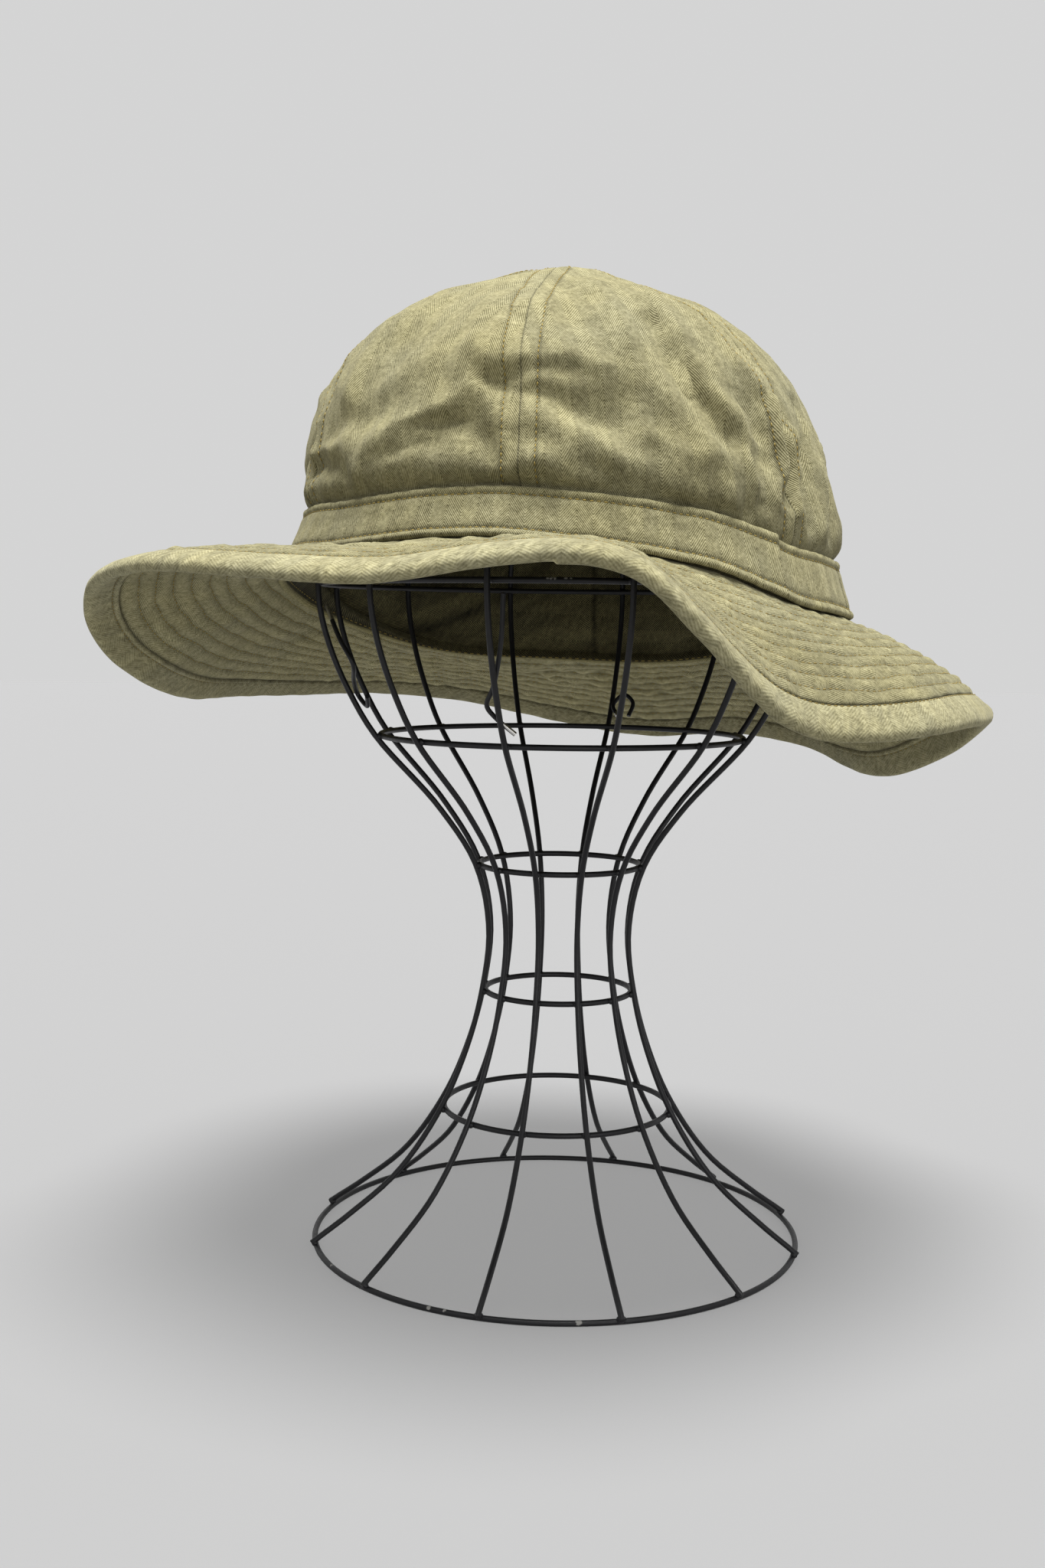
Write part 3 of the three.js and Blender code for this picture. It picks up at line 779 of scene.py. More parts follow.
@dataclass
class HatForm:
    """The curves that every cloth piece of the hat is bent onto, in millimetres.

    Attributes:
        axis: The middle of the base ring.
        seam_centre: Centre of the brim seam, from the axis.
        seam_radius: Radius of the band at the brim seam.
        band_top_centre: Centre of the band's top edge, from the axis.
        band_top_radius: Radius of the band at its top edge.
        apex: Top of the crown, from the axis, and its height.
        crown_tuck: Length of crown behind the band.
        band_width: Width of the band.
        brim_seam_radius: Radius of the brim's inner edge.
        brim_seam_drop: Drop from the seam's height to the brim's inner edge.
        sweatband_rise: Rise of the sweatband above the band's top.
        sweatband_lean: How far the sweatband leans in over that rise.
        behind_seam: Gap from the band's face to the sweatband at the seam.
        behind_crown: The same at the band's top.
        first_seam: Azimuth of the crown's first seam.
        panels: Number of crown panels.
        band_line: Height of the brim seam and rise of the band.
        crown_profile: Level and radius along the crown's upright section.
        settle_height: Height above the band from which the folds have their full depth.
        settle_radius: Radius below which they fade towards the top.
        crown_folds: Azimuth, height, lean, length, width and size of each fold.
        brim_edge: Reach past the seam and height of the brim's edge, and the angles of its bow there.
        brim_bow: Shares of the chord at which the bow's two middle points lie.
    """

    axis: Array
    seam_centre: tuple[float, float] = (1.7, 2.5)
    seam_radius: float = 97.8
    band_top_centre: tuple[float, float] = (2.1, 2.5)
    band_top_radius: float = 91.9
    apex: tuple[float, float, float] = (-1.2, 6.0, 340.5)
    crown_tuck: float = 4.0
    band_width: float = 17.0
    brim_seam_radius: float = 95.2
    brim_seam_drop: float = 0.9
    sweatband_rise: float = 18.0
    sweatband_lean: float = 1.6
    behind_seam: float = 1.8
    behind_crown: float = 3.9
    first_seam: float = -11.0
    panels: int = 6
    band_line: AzimuthTable = AzimuthTable(
        ("seam", "rise"),
        (
            (-180, 208.5, 17.5), (-150, 211.5, 17.5), (-125, 222.5, 17.5), (-100, 236.5, 18.0),
            (-75, 241.5, 15.0), (-48, 242.5, 14.8), (-20, 245.2, 14.6), (0, 243.0, 15.2), (24, 236.9, 16.6),
            (47, 226.3, 18.2), (70, 223.0, 18.4), (95, 221.0, 18.6), (125, 214.0, 18.0), (155, 208.0, 17.5),
        ),
    )
    crown_profile: tuple[tuple[float, float], ...] = (
        (0, 90.2), (8, 93.0), (25, 90.4), (42, 86.2), (58, 78.8), (72, 68.0), (84, 51.5), (93, 31.0),
        (98.2, 14.0), (100, 0),
    )
    settle_height: float = 12.0
    settle_radius: float = 30.0
    crown_folds: tuple[tuple[float, ...], ...] = (
        (-26, 62, 48, 24, 8, -2.2), (-34, 46, 60, 18, 7, 1.6), (-48, 26, 78, 20, 7, -2.0),
        (-66, 16, 70, 14, 6, -1.8), (-62, 58, 20, 26, 8, 1.6), (4, 66, 75, 18, 8, -2.0), (8, 50, 80, 20, 7, 1.8),
        (6, 24, 84, 26, 8, -2.4), (24, 40, -24, 30, 6, -2.0), (33, 46, -22, 30, 6, 1.8),
        (42, 30, -8, 22, 5, -2.2), (58, 28, 4, 24, 5, -2.0), (72, 24, 6, 20, 5, -1.6), (110, 34, 60, 26, 8, -1.8),
        (150, 28, -70, 24, 8, -2.0), (190, 44, 65, 26, 8, -1.8), (232, 30, -75, 26, 8, -2.0),
        (262, 50, 30, 24, 8, -1.6),
    )
    brim_edge: AzimuthTable = AzimuthTable(
        ("reach", "height", "spring", "curl"),
        (
            (-180, 58.6, 178.3, 4, 19), (-165, 61.4, 186.9, 4, 19), (-150, 61.0, 190.6, 4, 18),
            (-135, 58.1, 190.4, 4, 14), (-120, 54.7, 190.7, 3, 11), (-105, 50.8, 191.2, 2, 8),
            (-92, 53.0, 197.1, 0, 6), (-84, 61.5, 206.5, 0, 8), (-77, 67.2, 218.0, 0, 13),
            (-69, 68.2, 228.8, 0, 22), (-60, 66.0, 234.0, 0, 26), (-48, 64.8, 234.7, 0, 28),
            (-33, 65.2, 232.0, 0, 28), (-20, 65.1, 230.8, 0, 28), (-8, 66.6, 235.7, 0, 28),
            (0, 67.0, 236.6, 0, 28), (6, 65.7, 231.2, 2, 31), (12, 62.5, 216.2, 4, 26), (17, 56.1, 204.3, 5, 21),
            (23, 49.1, 193.1, 6, 22), (30, 45.1, 187.4, 7, 21), (38, 46.6, 186.7, 9, 22),
            (48, 49.1, 188.3, 12, 21), (60, 47.0, 189.0, 15, 26), (74, 46.5, 188.0, 16, 30),
            (87, 51.5, 187.2, 14, 27), (97, 58.5, 185.2, 10, 21), (106, 55.7, 173.9, 8, 21),
            (116, 47.7, 163.1, 6, 16), (126, 49.7, 163.7, 5, 16), (136, 56.2, 170.1, 5, 18),
            (150, 58.6, 175.0, 5, 19), (165, 56.6, 172.7, 4, 19),
        ),
    )
    brim_bow: tuple[float, float] = (0.38, 0.26)

    def seam_height(self, azimuth: Array) -> Array:
        """Height of the brim seam."""
        return self.band_line.at("seam", azimuth)

    def band_rise(self, azimuth: Array) -> Array:
        """Height of the band above the brim seam."""
        return self.band_line.at("rise", azimuth)

    def band_centre(self, share: Array) -> Array:
        """Centre of the band's ring at a share of its height, as x and y."""
        low, high = np.array(self.seam_centre), np.array(self.band_top_centre)
        return low + (high - low) * np.asarray(share)[..., None] + self.axis[:2]

    def band_point(self, azimuth: Array, share: Array) -> Array:
        """Outer face of the band, from the seam at 0 to its top at 1.

        Args:
            azimuth: Azimuths.
            share: Shares of the band's height.

        Returns:
            Points.
        """
        radius = self.seam_radius + (self.band_top_radius - self.seam_radius) * share
        height = self.seam_height(azimuth) + self.band_rise(azimuth) * share
        return around(azimuth, radius, height, self.band_centre(share))

    def lining_point(self, azimuth: Array, share: Array) -> Array:
        """Outer face of the sweatband, from the seam at 0 past the band's top at 1 to its own top at 2.

        Args:
            azimuth: Azimuths.
            share: Shares, from 0 to 2.

        Returns:
            Points.
        """
        behind = self.behind_seam + (self.behind_crown - self.behind_seam) * smooth(share * 1.4)
        low, high = np.minimum(share, 1.0), np.maximum(share - 1.0, 0.0)
        outer = self.seam_radius + (self.band_top_radius - self.seam_radius) * low
        height = self.seam_height(azimuth) + self.band_rise(azimuth) * low + self.sweatband_rise * high
        return around(azimuth, outer - behind - self.sweatband_lean * high, height, self.band_centre(low))

    def fold_depth(self, azimuth: Array, height: Array, radius: Array) -> Array:
        """Depth of the crown's folds.

        Args:
            azimuth: Azimuths.
            height: Heights above the band.
            radius: Radius of the crown there.

        Returns:
            Distances outwards.
        """
        depth = np.zeros(np.broadcast(azimuth, height).shape)
        for middle, level, lean, length, width, size in self.crown_folds:
            across = np.radians(turn_between(azimuth, middle)) * radius
            up = height - level
            cos, sin = math.cos(math.radians(lean)), math.sin(math.radians(lean))
            along, beside = up * cos + across * sin, across * cos - up * sin
            depth += size * np.exp(-((along / length) ** 2) - (beside / width) ** 2)
        return depth

    def profile_spot(self, share: Array) -> tuple[Array, Array]:
        """Level and radius of the crown's upright section at a share of its length.

        Args:
            share: Shares of the section's length.

        Returns:
            The levels, from 0 to 1, and the radii.
        """
        points = np.array([(radius, level) for level, radius in self.crown_profile], float)
        count = len(points)

        def spline(t: Array) -> Array:
            """Smooth curve through the section's points.

            Args:
                t: Places along the curve, from 0 to 1.

            Returns:
                Radius and level at each place.
            """
            place = t * (count - 1)
            index = np.minimum(np.floor(place).astype(int), count - 2)
            weight = (place - index)[:, None]
            p0 = points[np.maximum(index - 1, 0)]
            p1, p2 = points[index], points[index + 1]
            p3 = points[np.minimum(index + 2, count - 1)]
            v0, v1 = (p2 - p0) * 0.5, (p3 - p1) * 0.5
            return (
                (2 * p1 - 2 * p2 + v0 + v1) * weight**3
                + (-3 * p1 + 3 * p2 - 2 * v0 - v1) * weight**2
                + v0 * weight
                + p1
            )

        steps = np.linspace(0, 1, 201)
        run = run_along(spline(steps))
        flat = np.clip(np.asarray(share, float).ravel(), 0, 1) * run[-1]
        spot = spline(np.interp(flat, run, steps)).reshape(*np.shape(share), 2)
        return spot[..., 1] / 100.0, spot[..., 0]

    def crown_point(self, azimuth: Array, share: Array) -> Array:
        """Outer face of the crown: tucked behind the band below 0, the apex at 1.

        Args:
            azimuth: Azimuths.
            share: Shares of the section's length.

        Returns:
            Points.
        """
        azimuth, share = np.broadcast_arrays(np.asarray(azimuth, float), np.asarray(share, float))
        rise = self.band_rise(azimuth)
        base = self.seam_height(azimuth) + rise
        level, radius = self.profile_spot(share)
        height = base + (self.apex[2] - base) * level
        settle = smooth((height - base) / self.settle_height) * smooth(radius / self.settle_radius)
        radius = radius + settle * self.fold_depth(azimuth, height - base, np.maximum(radius, 1.0))
        low, high = np.array(self.band_top_centre), np.array(self.apex[:2])
        centre = low + (high - low) * level[..., None] + self.axis[:2]
        down = np.maximum(-share, 0.0) * self.crown_tuck
        slope = (self.seam_radius - self.band_top_radius) / rise
        return around(azimuth, radius + slope * down, height - down, centre)

    def brim_lines(self, azimuth: Array) -> tuple[Array, Array]:
        """Sections of the brim's upper face.

        Args:
            azimuth: One azimuth for each section.

        Returns:
            Points of each section, azimuths by 99 by 2, outwards and up from the seam, and the
            distance along the cloth to each of them. The first and the last point lie outside the
            cloth, where it would run straight on.
        """
        reach = self.brim_edge.at("reach", azimuth)
        rise = self.brim_edge.at("height", azimuth) - self.seam_height(azimuth)
        spring = np.radians(self.brim_edge.at("spring", azimuth))
        curl = np.radians(self.brim_edge.at("curl", azimuth))
        start = np.stack([0 * reach + self.brim_seam_radius - self.seam_radius, 0 * reach - self.brim_seam_drop], -1)
        end = np.stack([reach, rise], -1)
        chord = np.linalg.norm(end - start, axis=-1)
        slope = np.arctan2(end[:, 1] - start[:, 1], end[:, 0] - start[:, 0])
        first = start + (chord * self.brim_bow[0])[:, None] * flat_unit(slope + spring)
        second = end - (chord * self.brim_bow[1])[:, None] * flat_unit(slope - curl)
        t = np.linspace(0, 1, 97)[None, :, None]
        line = (
            (1 - t) ** 3 * start[:, None]
            + 3 * (1 - t) ** 2 * t * first[:, None]
            + 3 * (1 - t) * t**2 * second[:, None]
            + t**3 * end[:, None]
        )
        before, after = line[:, :1] * 21 - line[:, 1:2] * 20, line[:, -1:] * 21 - line[:, -2:-1] * 20
        line = np.concatenate([before, line, after], axis=1)
        step = np.linalg.norm(np.diff(line, axis=1), axis=-1)
        run = np.concatenate([np.zeros((len(azimuth), 1)), np.cumsum(step, axis=1)], axis=1)
        return line, run - run[:, 1:2]

    def brim_sheet(self, azimuth: Array, distance: Array) -> Array:
        """Upper face of the brim.

        Args:
            azimuth: One azimuth for each row.
            distance: Distances along the cloth, rows by columns. Past the edge the cloth runs straight on.

        Returns:
            Points, rows by columns by 3.
        """
        line, run = self.brim_lines(azimuth)
        out = np.empty(distance.shape)
        up = np.empty(distance.shape)
        for i in range(len(azimuth)):
            out[i] = np.interp(distance[i], run[i], line[i, :, 0])
            up[i] = np.interp(distance[i], run[i], line[i, :, 1])
        centre = np.array(self.seam_centre) + self.axis[:2]
        height = self.seam_height(azimuth)[:, None] + up
        return around(azimuth[:, None], self.seam_radius + out, height, centre[None, None, :])

    def brim_spot(self, azimuth: Array, distance: Array, depth: Array) -> Array:
        """Places spots in or near the brim.

        Args:
            azimuth: One azimuth for each row, the last 360 past the first.
            distance: Distances along the cloth, rows by columns.
            depth: Distances down from the upper face, rows by columns.

        Returns:
            Points, rows by columns by 3.
        """
        base = self.brim_sheet(azimuth, distance)
        outwards = self.brim_sheet(azimuth, distance + 0.4) - self.brim_sheet(azimuth, distance - 0.4)
        return base + unit(np.cross(change_along(base, True), outwards)) * depth[..., None]

    def brim_length(self, azimuth: Array) -> Array:
        """Length of the cloth from the seam to the brim's edge."""
        return self.brim_lines(azimuth)[1][:, -2]


# ---- stitches


@dataclass
class StitchRows:
    """Rows of separate stitches that lie in the cloth.

    Attributes:
        name: Name of the piece.
        length: Length of one stitch.
        pitch: Distance from one stitch to the next.
        width: Width of the thread.
        stand_out: How far the thread's middle lies above the cloth, as a share of its width.
        lines: Centre lines and the normals of the cloth along them.
    """

    name: str
    length: float = 1.55
    pitch: float = 2.15
    width: float = 0.46
    stand_out: float = 0.12
    lines: list[tuple[Array, Array]] = field(default_factory=list)

    def add(self, line: Array, normal: Array) -> None:
        """Adds one row of stitches along a line, with the normals of the cloth there."""
        self.lines.append((line, normal))

    def places(self) -> Array:
        """Works out where each stitch lies.

        Returns:
            One 4 by 4 matrix for each stitch.
        """
        found: list[Array] = []
        for line, normal in self.lines:
            run = run_along(line)
            count = max(int(run[-1] / self.pitch), 1)
            middle = (np.arange(count) + 0.5) * run[-1] / count

            def read(values: Array, spots: Array) -> Array:
                """Reads values at distances along the row."""
                return np.stack([np.interp(spots, run, values[:, k]) for k in range(3)], axis=1)

            half = self.length / 2
            ends = np.minimum(middle + half, run[-1]), np.maximum(middle - half, 0)
            ahead = unit(read(line, ends[0]) - read(line, ends[1]))
            side = unit(np.cross(read(normal, middle), ahead))
            up = np.cross(ahead, side)
            pose = np.zeros((count, 4, 4))
            pose[:, :3, 0] = ahead * half
            pose[:, :3, 1] = side * self.width / 2
            pose[:, :3, 2] = up * self.width / 2
            pose[:, :3, 3] = read(line, middle) + up * self.width * self.stand_out
            pose[:, 3, 3] = 1
            found.append(pose)
        return np.concatenate(found)

    def build(self, thread: Material, slot: str) -> None:
        """Makes one piece of all the stitches.

        Args:
            thread: Material of the thread.
            slot: Material slot of the record.
        """
        poses = self.places()
        bm = bmesh.new()
        bmesh.ops.create_icosphere(bm, subdivisions=1, radius=1.0)
        one = np.array([vert.co[:] for vert in bm.verts])
        copies = 1
        single = bpy.data.meshes.new(self.name + "_single")
        while copies < len(poses):
            bm.to_mesh(single)
            bm.from_mesh(single)
            copies *= 2
        bm.verts.ensure_lookup_table()
        spare = bm.verts[len(poses) * len(one) :]
        bmesh.ops.delete(bm, geom=spare, context="VERTS")
        mesh = write_mesh(bm, self.name)
        bpy.data.meshes.remove(single)
        placed = np.einsum("nij,vj->nvi", poses[:, :3, :3], one) + poses[:, None, :3, 3]
        mesh.vertices.foreach_set("co", (placed * MM).astype(np.float32).ravel())
        mesh.update()
        mesh.shade_smooth()
        mesh.materials.append(thread)
        finish_piece(add_object(self.name, mesh), slot)


# ---- cloth pieces


@dataclass
class Crown:
    """The dome of pointed panels.

    Attributes:
        form: Curves of the hat.
        rows: Rows from the tucked edge to the top.
        edge_columns: Columns in the zone beside each seam.
        middle_columns: Columns between those zones.
        edge_zone: Width of the zone beside a seam.
        inner_columns: Columns of the inner face.
        ply: Thickness of the cloth.
        stitch_distance: Distance of the topstitch from the seam.
        top_share: Share of the height at which the panels end.
        seam_gap: Half of the gap between two panels.
        seam_relief: Groove and swell beside a seam.
        stitch_groove: Groove along the topstitch.
        pucker: Puckers across the seams.
        pucker_zone: Where they run beside a seam.
        soft: Broad unevenness of the cloth.
        fine: Small unevenness of the cloth.
        gathers: Number of gathers above the band.
        gather_depth: Depth of the gathers.
        gather_zone: Distance up at which they lie.
        stray: Waves by which the creases stray sideways and up.
        crease_edge: How sharply a crease falls off.
        seam_tones_and_shade: Tones beside a seam: a slightly paler strip on the swell, and painted shade along the
            seam line and in the holes and puckers of the topstitch.
        low_shade_and_soil: Painted shade, with some soiling, darker towards the band.
        crease_size: Factor on the size of every crease.
        creases: Width and size of each crease, and then azimuth and run of each point of its line.
    """

    form: HatForm
    rows: int = 112
    edge_columns: int = 18
    middle_columns: int = 34
    edge_zone: float = 8.4
    inner_columns: int = 20
    ply: float = 1.2
    stitch_distance: float = 5.4
    top_share: float = 0.9965
    seam_gap: float = 0.02
    seam_relief: tuple[Bump, ...] = (Bump(-0.30, 0.0, 0.36), Bump(0.12, 2.5, 2.2))
    stitch_groove: Bump = Bump(-0.22, stitch_distance, 0.6)
    pucker: Ripple = Ripple(3, 6.0, 11.0, size=0.50)
    pucker_zone: Bump = Bump(1.0, 4.2, 4.5)
    soft: Ripple = Ripple(5, 20.0, 48.0, size=0.55)
    fine: Ripple = Ripple(9, 6.0, 13.0, size=0.24)
    gathers: int = 64
    gather_depth: float = 0.26
    gather_zone: Bump = Bump(1.0, 3.5, 6.0)
    stray: tuple[Ripple, Ripple] = (Ripple(13, 12.0, 30.0, size=1.8), Ripple(14, 12.0, 30.0, size=1.8))
    crease_edge: float = 1.7
    # painted shade along the seam line and in the topstitch's holes and puckers; a slightly paler strip on the swell
    seam_tones_and_shade: tuple[Bump, ...] = (
        Bump(0.05, 2.6, 1.6),
        Bump(-0.42, 0.0, 0.22),
        Bump(-0.40, stitch_distance, 0.6),
    )
    # painted shade, with some soiling, that darkens the crown towards the band
    low_shade_and_soil: Bump = Bump(-0.17, 5.0, 13.0)
    crease_size: float = 1.6
    creases: tuple[tuple[float, ...], ...] = (
        (5.0, 1.5, -17.5, 54, -20.5, 39.6, -23.5, 32.8, -30, 27.6, -38, 21.2, -44, 14.8),
        (5.5, 1.4, -18, 43, -9.5, 44, -1, 43.5, 6, 40.6), (4.0, 1.2, -20.5, 30.9, -17, 21.2, -14.5, 15.9),
        (5.0, 1.6, -8.5, 24.7, -1, 18, 4.5, 15.9, 7, 12.3),
        (5.0, 1.6, 8.5, 87.2, 11.5, 59.8, 13.5, 45.9, 17, 33.8, 22.5, 24.7, 26.5, 19),
        (4.5, 1.2, 24, 78.7, 24.5, 59.8, 28, 46.9, 31.5, 38.1, 34, 31.9),
        (4.5, 1.2, 37.5, 70.3, 41.5, 53.4, 47, 45.9, 47.5, 41),
        (2.6, 1.5, 49.5, 41, 46.5, 29.5, 46, 24.7, 44, 11.3), (4.0, 1.3, 12, 28.1, 17, 13.3, 17.5, 4.5),
        (4.5, 1.4, -72, 19, -55, 16.9, -47, 10.3), (6.5, 1.2, -41, 11, -29, 9.5, -16.5, 8.5, -9, 8.3),
        (6.5, 1.2, -8, 8, 3.5, 8.5, 13.5, 7.5), (5.0, 1.2, 22.5, 16.9, 35, 15.9),
        (4.5, -1.5, -15.5, 32.4, -9.5, 30, -1, 26.5, 5.5, 23),
        (4.0, -1.3, 19, 62.9, 22.5, 45.4, 27.5, 34.3, 31, 25.7),
        (4.0, -1.3, 28.5, 54, 33.5, 44.4, 39.5, 37.6, 40.5, 31.4), (4.0, -1.2, -42.5, 12, -33.5, 13, -27, 15),
        (4.0, -1.4, -70.5, 13, -52, 10), (4.5, -1.1, -1, 8, 8.5, 5.5, 12, 4),
        (3.5, -1.5, -29, 23.2, -21, 20.1, -18, 14.8), (2.6, -1.6, 52, 40.1, 49, 27.6, 47, 13.3),
        (2.2, 1.1, 55, 35.2, 51.5, 23.2, 49.5, 11.3), (2.6, -1.6, 66, 46, 61, 33.3, 56, 18, 56.5, 8),
        (2.8, 1.2, 72, 34, 64, 21, 62, 8), (2.6, -1.2, 78, 32, 71, 18, 69, 7), (2.6, -1.3, 40.5, 22.7, 38, 10.3),
        (2.6, 1.0, 37, 18.5, 36, 9.8), (3.8, -1.0, -8, 39, -1, 37), (3.8, -1.2, -18, 36.2, -12.5, 37.6),
        (4.5, 0.9, -55, 40.1, -53.5, 28.1, -52, 18), (6.0, 1.1, -29, 88, -22, 58), (6.5, -0.9, -40, 80, -42, 45),
        (6.5, 0.9, -52, 70, -58, 40), (6.0, -1.0, 0, 84, 2, 56), (3.2, -1.3, 15, 14, 16.5, 3.5),
        (3.2, 0.8, 20, 16, 22, 5), (3.2, 0.8, 30, 10, 31, 3), (3.2, -1.3, 36, 13, 35, 2),
        (5.0, -1.4, 100, 60, 112, 30), (5.0, 1.2, 108, 64, 120, 34), (4.0, -1.5, 128, 27, 145, 20),
        (4.0, 1.1, 138, 16, 156, 12), (5.0, -1.3, 160, 50, 152, 20), (5.0, 1.2, 172, 46, 166, 22),
        (4.0, -1.5, 185, 30, 202, 24), (4.0, 1.1, 198, 18, 214, 12), (5.5, -1.3, 215, 70, 208, 36),
        (5.0, 1.2, 226, 60, 232, 30), (4.0, -1.5, 236, 28, 252, 20), (4.0, 1.0, 246, 14, 262, 10),
        (5.5, -1.2, 258, 70, 266, 36), (4.5, 1.2, 272, 40, 268, 18), (4.0, -1.3, 284, 26, 273, 12),
    )

    def shares(self) -> Array:
        """Share of the crown's height of each row, from the tucked edge to the top."""
        upper = self.top_share * np.linspace(0, 1, self.rows - 4)
        return np.concatenate([[-1.0, -0.7, -0.4, -0.15], upper])

    def climb(self, azimuth: float) -> Array:
        """Distances up the cloth at one azimuth.

        Args:
            azimuth: The azimuth.

        Returns:
            One distance from the band's top for each row.
        """
        share = self.shares()
        run = run_along(self.form.crown_point(np.full_like(share, azimuth), share))
        return run - run[4]

    def relief(self, points: Array, azimuth: Array, run: Array, gap: Array) -> Array:
        """How far the cloth stands out from the smooth crown.

        Args:
            points: Spots on the smooth crown.
            azimuth: Azimuths of the spots.
            run: Distances up the cloth, as they are at the front.
            gap: Distances from the nearest seam.

        Returns:
            Distances outwards.
        """
        pucker = self.pucker.at(points * np.array([0.3, 0.3, 1.0])) * self.pucker_zone.at(gap)
        free = add_up(self.seam_relief, gap) + self.stitch_groove.at(gap) + pucker
        free = free + self.soft.at(points) + self.fine.at(points)
        gather = self.gather_depth * ring_waves(azimuth, self.gathers, 1.7) * self.gather_zone.at(run)
        return smooth(run / 6.0) * free + gather * smooth(run / 2.0) + self.crease(points, azimuth, run)

    def crease(self, points: Array, azimuth: Array, run: Array) -> Array:
        """Depth of the creases.

        Args:
            points: Spots on the smooth crown.
            azimuth: Azimuths of the spots.
            run: Distances up the cloth.

        Returns:
            Distances outwards.
        """
        radius = np.linalg.norm(points[..., :2] - self.form.axis[:2], axis=-1)
        aside, upwards = (ripple.at(points) for ripple in self.stray)
        depth = np.zeros(run.shape)
        for width, size, *flat in self.creases:
            line = list(zip(flat[::2], flat[1::2]))
            nearest = np.full(run.shape, np.inf)
            for (start, low), (end, high) in zip(line, line[1:]):
                across = np.radians(turn_between(azimuth, start)) * radius + aside
                up = run - low + upwards
                span, rise = np.radians(end - start) * radius, high - low
                share = np.clip((across * span + up * rise) / (span**2 + rise**2), 0.0, 1.0)
                nearest = np.minimum(nearest, np.hypot(across - share * span, up - share * rise))
            depth += self.crease_size * size * np.exp(-((nearest / width) ** self.crease_edge))
        return depth * smooth(run / 5.0) * smooth(radius / 25.0)

    def outer_rows(self, panel: int) -> tuple[Array, Array, Array, Array]:
        """The outer face of a panel.

        Args:
            panel: Number of the panel, from 0.

        Returns:
            Points, normals, cloth map in millimetres, and the distance from the nearest seam.
        """
        form = self.form
        span = 360.0 / form.panels
        first = form.first_seam + panel * span
        share = self.shares()
        run = self.climb(first + span / 2)
        front_run = self.climb(0.0)[:, None]
        centre = form.profile_spot(share)[1]
        width = np.radians(span) * np.maximum(centre, 0.3)
        zone = np.minimum(self.edge_zone, 0.4 * width)
        edge = np.linspace(0, 1, self.edge_columns) ** 1.4
        inside = np.linspace(0, 1, self.middle_columns)[1:-1]
        rows = []
        for i in range(len(share)):
            left = edge * zone[i]
            between = zone[i] + inside * (width[i] - 2 * zone[i])
            rows.append(np.concatenate([left, between, width[i] - left[::-1]]))
        place = np.array(rows)
        tight = self.seam_gap + place * (1 - 2 * self.seam_gap / width[:, None])
        beyond = np.concatenate([tight[:, :1] - 0.4, tight, tight[:, -1:] + 0.4], axis=1)
        azimuth = first + beyond / width[:, None] * span
        points = form.crown_point(azimuth, share[:, None] + 0 * azimuth)
        normal = -grid_normals(points, False)[:, 1:-1]
        points, azimuth = points[:, 1:-1], azimuth[:, 1:-1]
        gap = np.minimum(place, width[:, None] - place)
        height = self.relief(points, azimuth, front_run + 0 * azimuth, gap)
        points = points + normal * height[..., None]
        cloth = np.stack([place - width[:, None] / 2, run[:, None] + 0 * place], -1)
        return points, normal, cloth, gap

    def build(self, cloth: Material, thread: Material) -> None:
        """Makes the panels and their topstitching.

        Args:
            cloth: Material of the panels.
            thread: Material of the stitches.
        """
        stitches = StitchRows("crown_topstitch")
        for panel in range(self.form.panels):
            points, normal, spread, gap = self.outer_rows(panel)
            pick = np.rint(np.linspace(points.shape[1] - 1, 0, self.inner_columns)).astype(int)
            inner = (points - normal * self.ply)[:, pick]
            inner_map = spread[:, pick] + np.array([0.0, 0.4])
            wall = np.concatenate([points, inner, points[:, :1]], axis=1)
            chart = np.concatenate([spread, inner_map, spread[:, :1]], axis=1)
            # painted shade along the seams, in the topstitch and low on the crown (there with some soiling); paler
            # strip beside each seam
            piece_tones_and_shading = add_up(self.seam_tones_and_shade, gap) + self.low_shade_and_soil.at(np.maximum(spread[..., 1], self.low_shade_and_soil.place))
            tone_and_shading = np.concatenate([piece_tones_and_shading, piece_tones_and_shading[:, pick], piece_tones_and_shading[:, :1]], axis=1)
            name = f"crown_gore_{panel + 1}"
            offset = np.array([0.0071 * panel, 0.0])
            piece = loft(name, wall, chart * MM + offset, cloth, False, tone_and_shading)
            finish_piece(piece, "cloth", f"crown_panel_{panel + 1}")
            zone = np.minimum(self.edge_zone, 0.4 * (gap.max(axis=1) * 2))
            for side in (0, 1):
                edge = self.edge_zone * np.linspace(0, 1, self.edge_columns) ** 1.4
                column = int(np.argmin(np.abs(edge - self.stitch_distance)))
                index = column if side == 0 else points.shape[1] - 1 - column
                shown = (zone >= self.edge_zone * 0.5) & (spread[:, index, 1] > 0.5)
                stitches.add(points[shown, index], normal[shown, index])
        stitches.build(thread, "cloth")

    @staticmethod
    def cloth_area(points: Array) -> float:
        """Area of a grid of points.

        Args:
            points: Rows by columns by 3, in millimetres.

        Returns:
            The area in square metres.
        """
        first = np.diff(points, axis=0)[:, :-1]
        second = np.diff(points, axis=1)[:-1]
        return float(np.linalg.norm(np.cross(first, second), axis=-1).sum() * MM * MM)


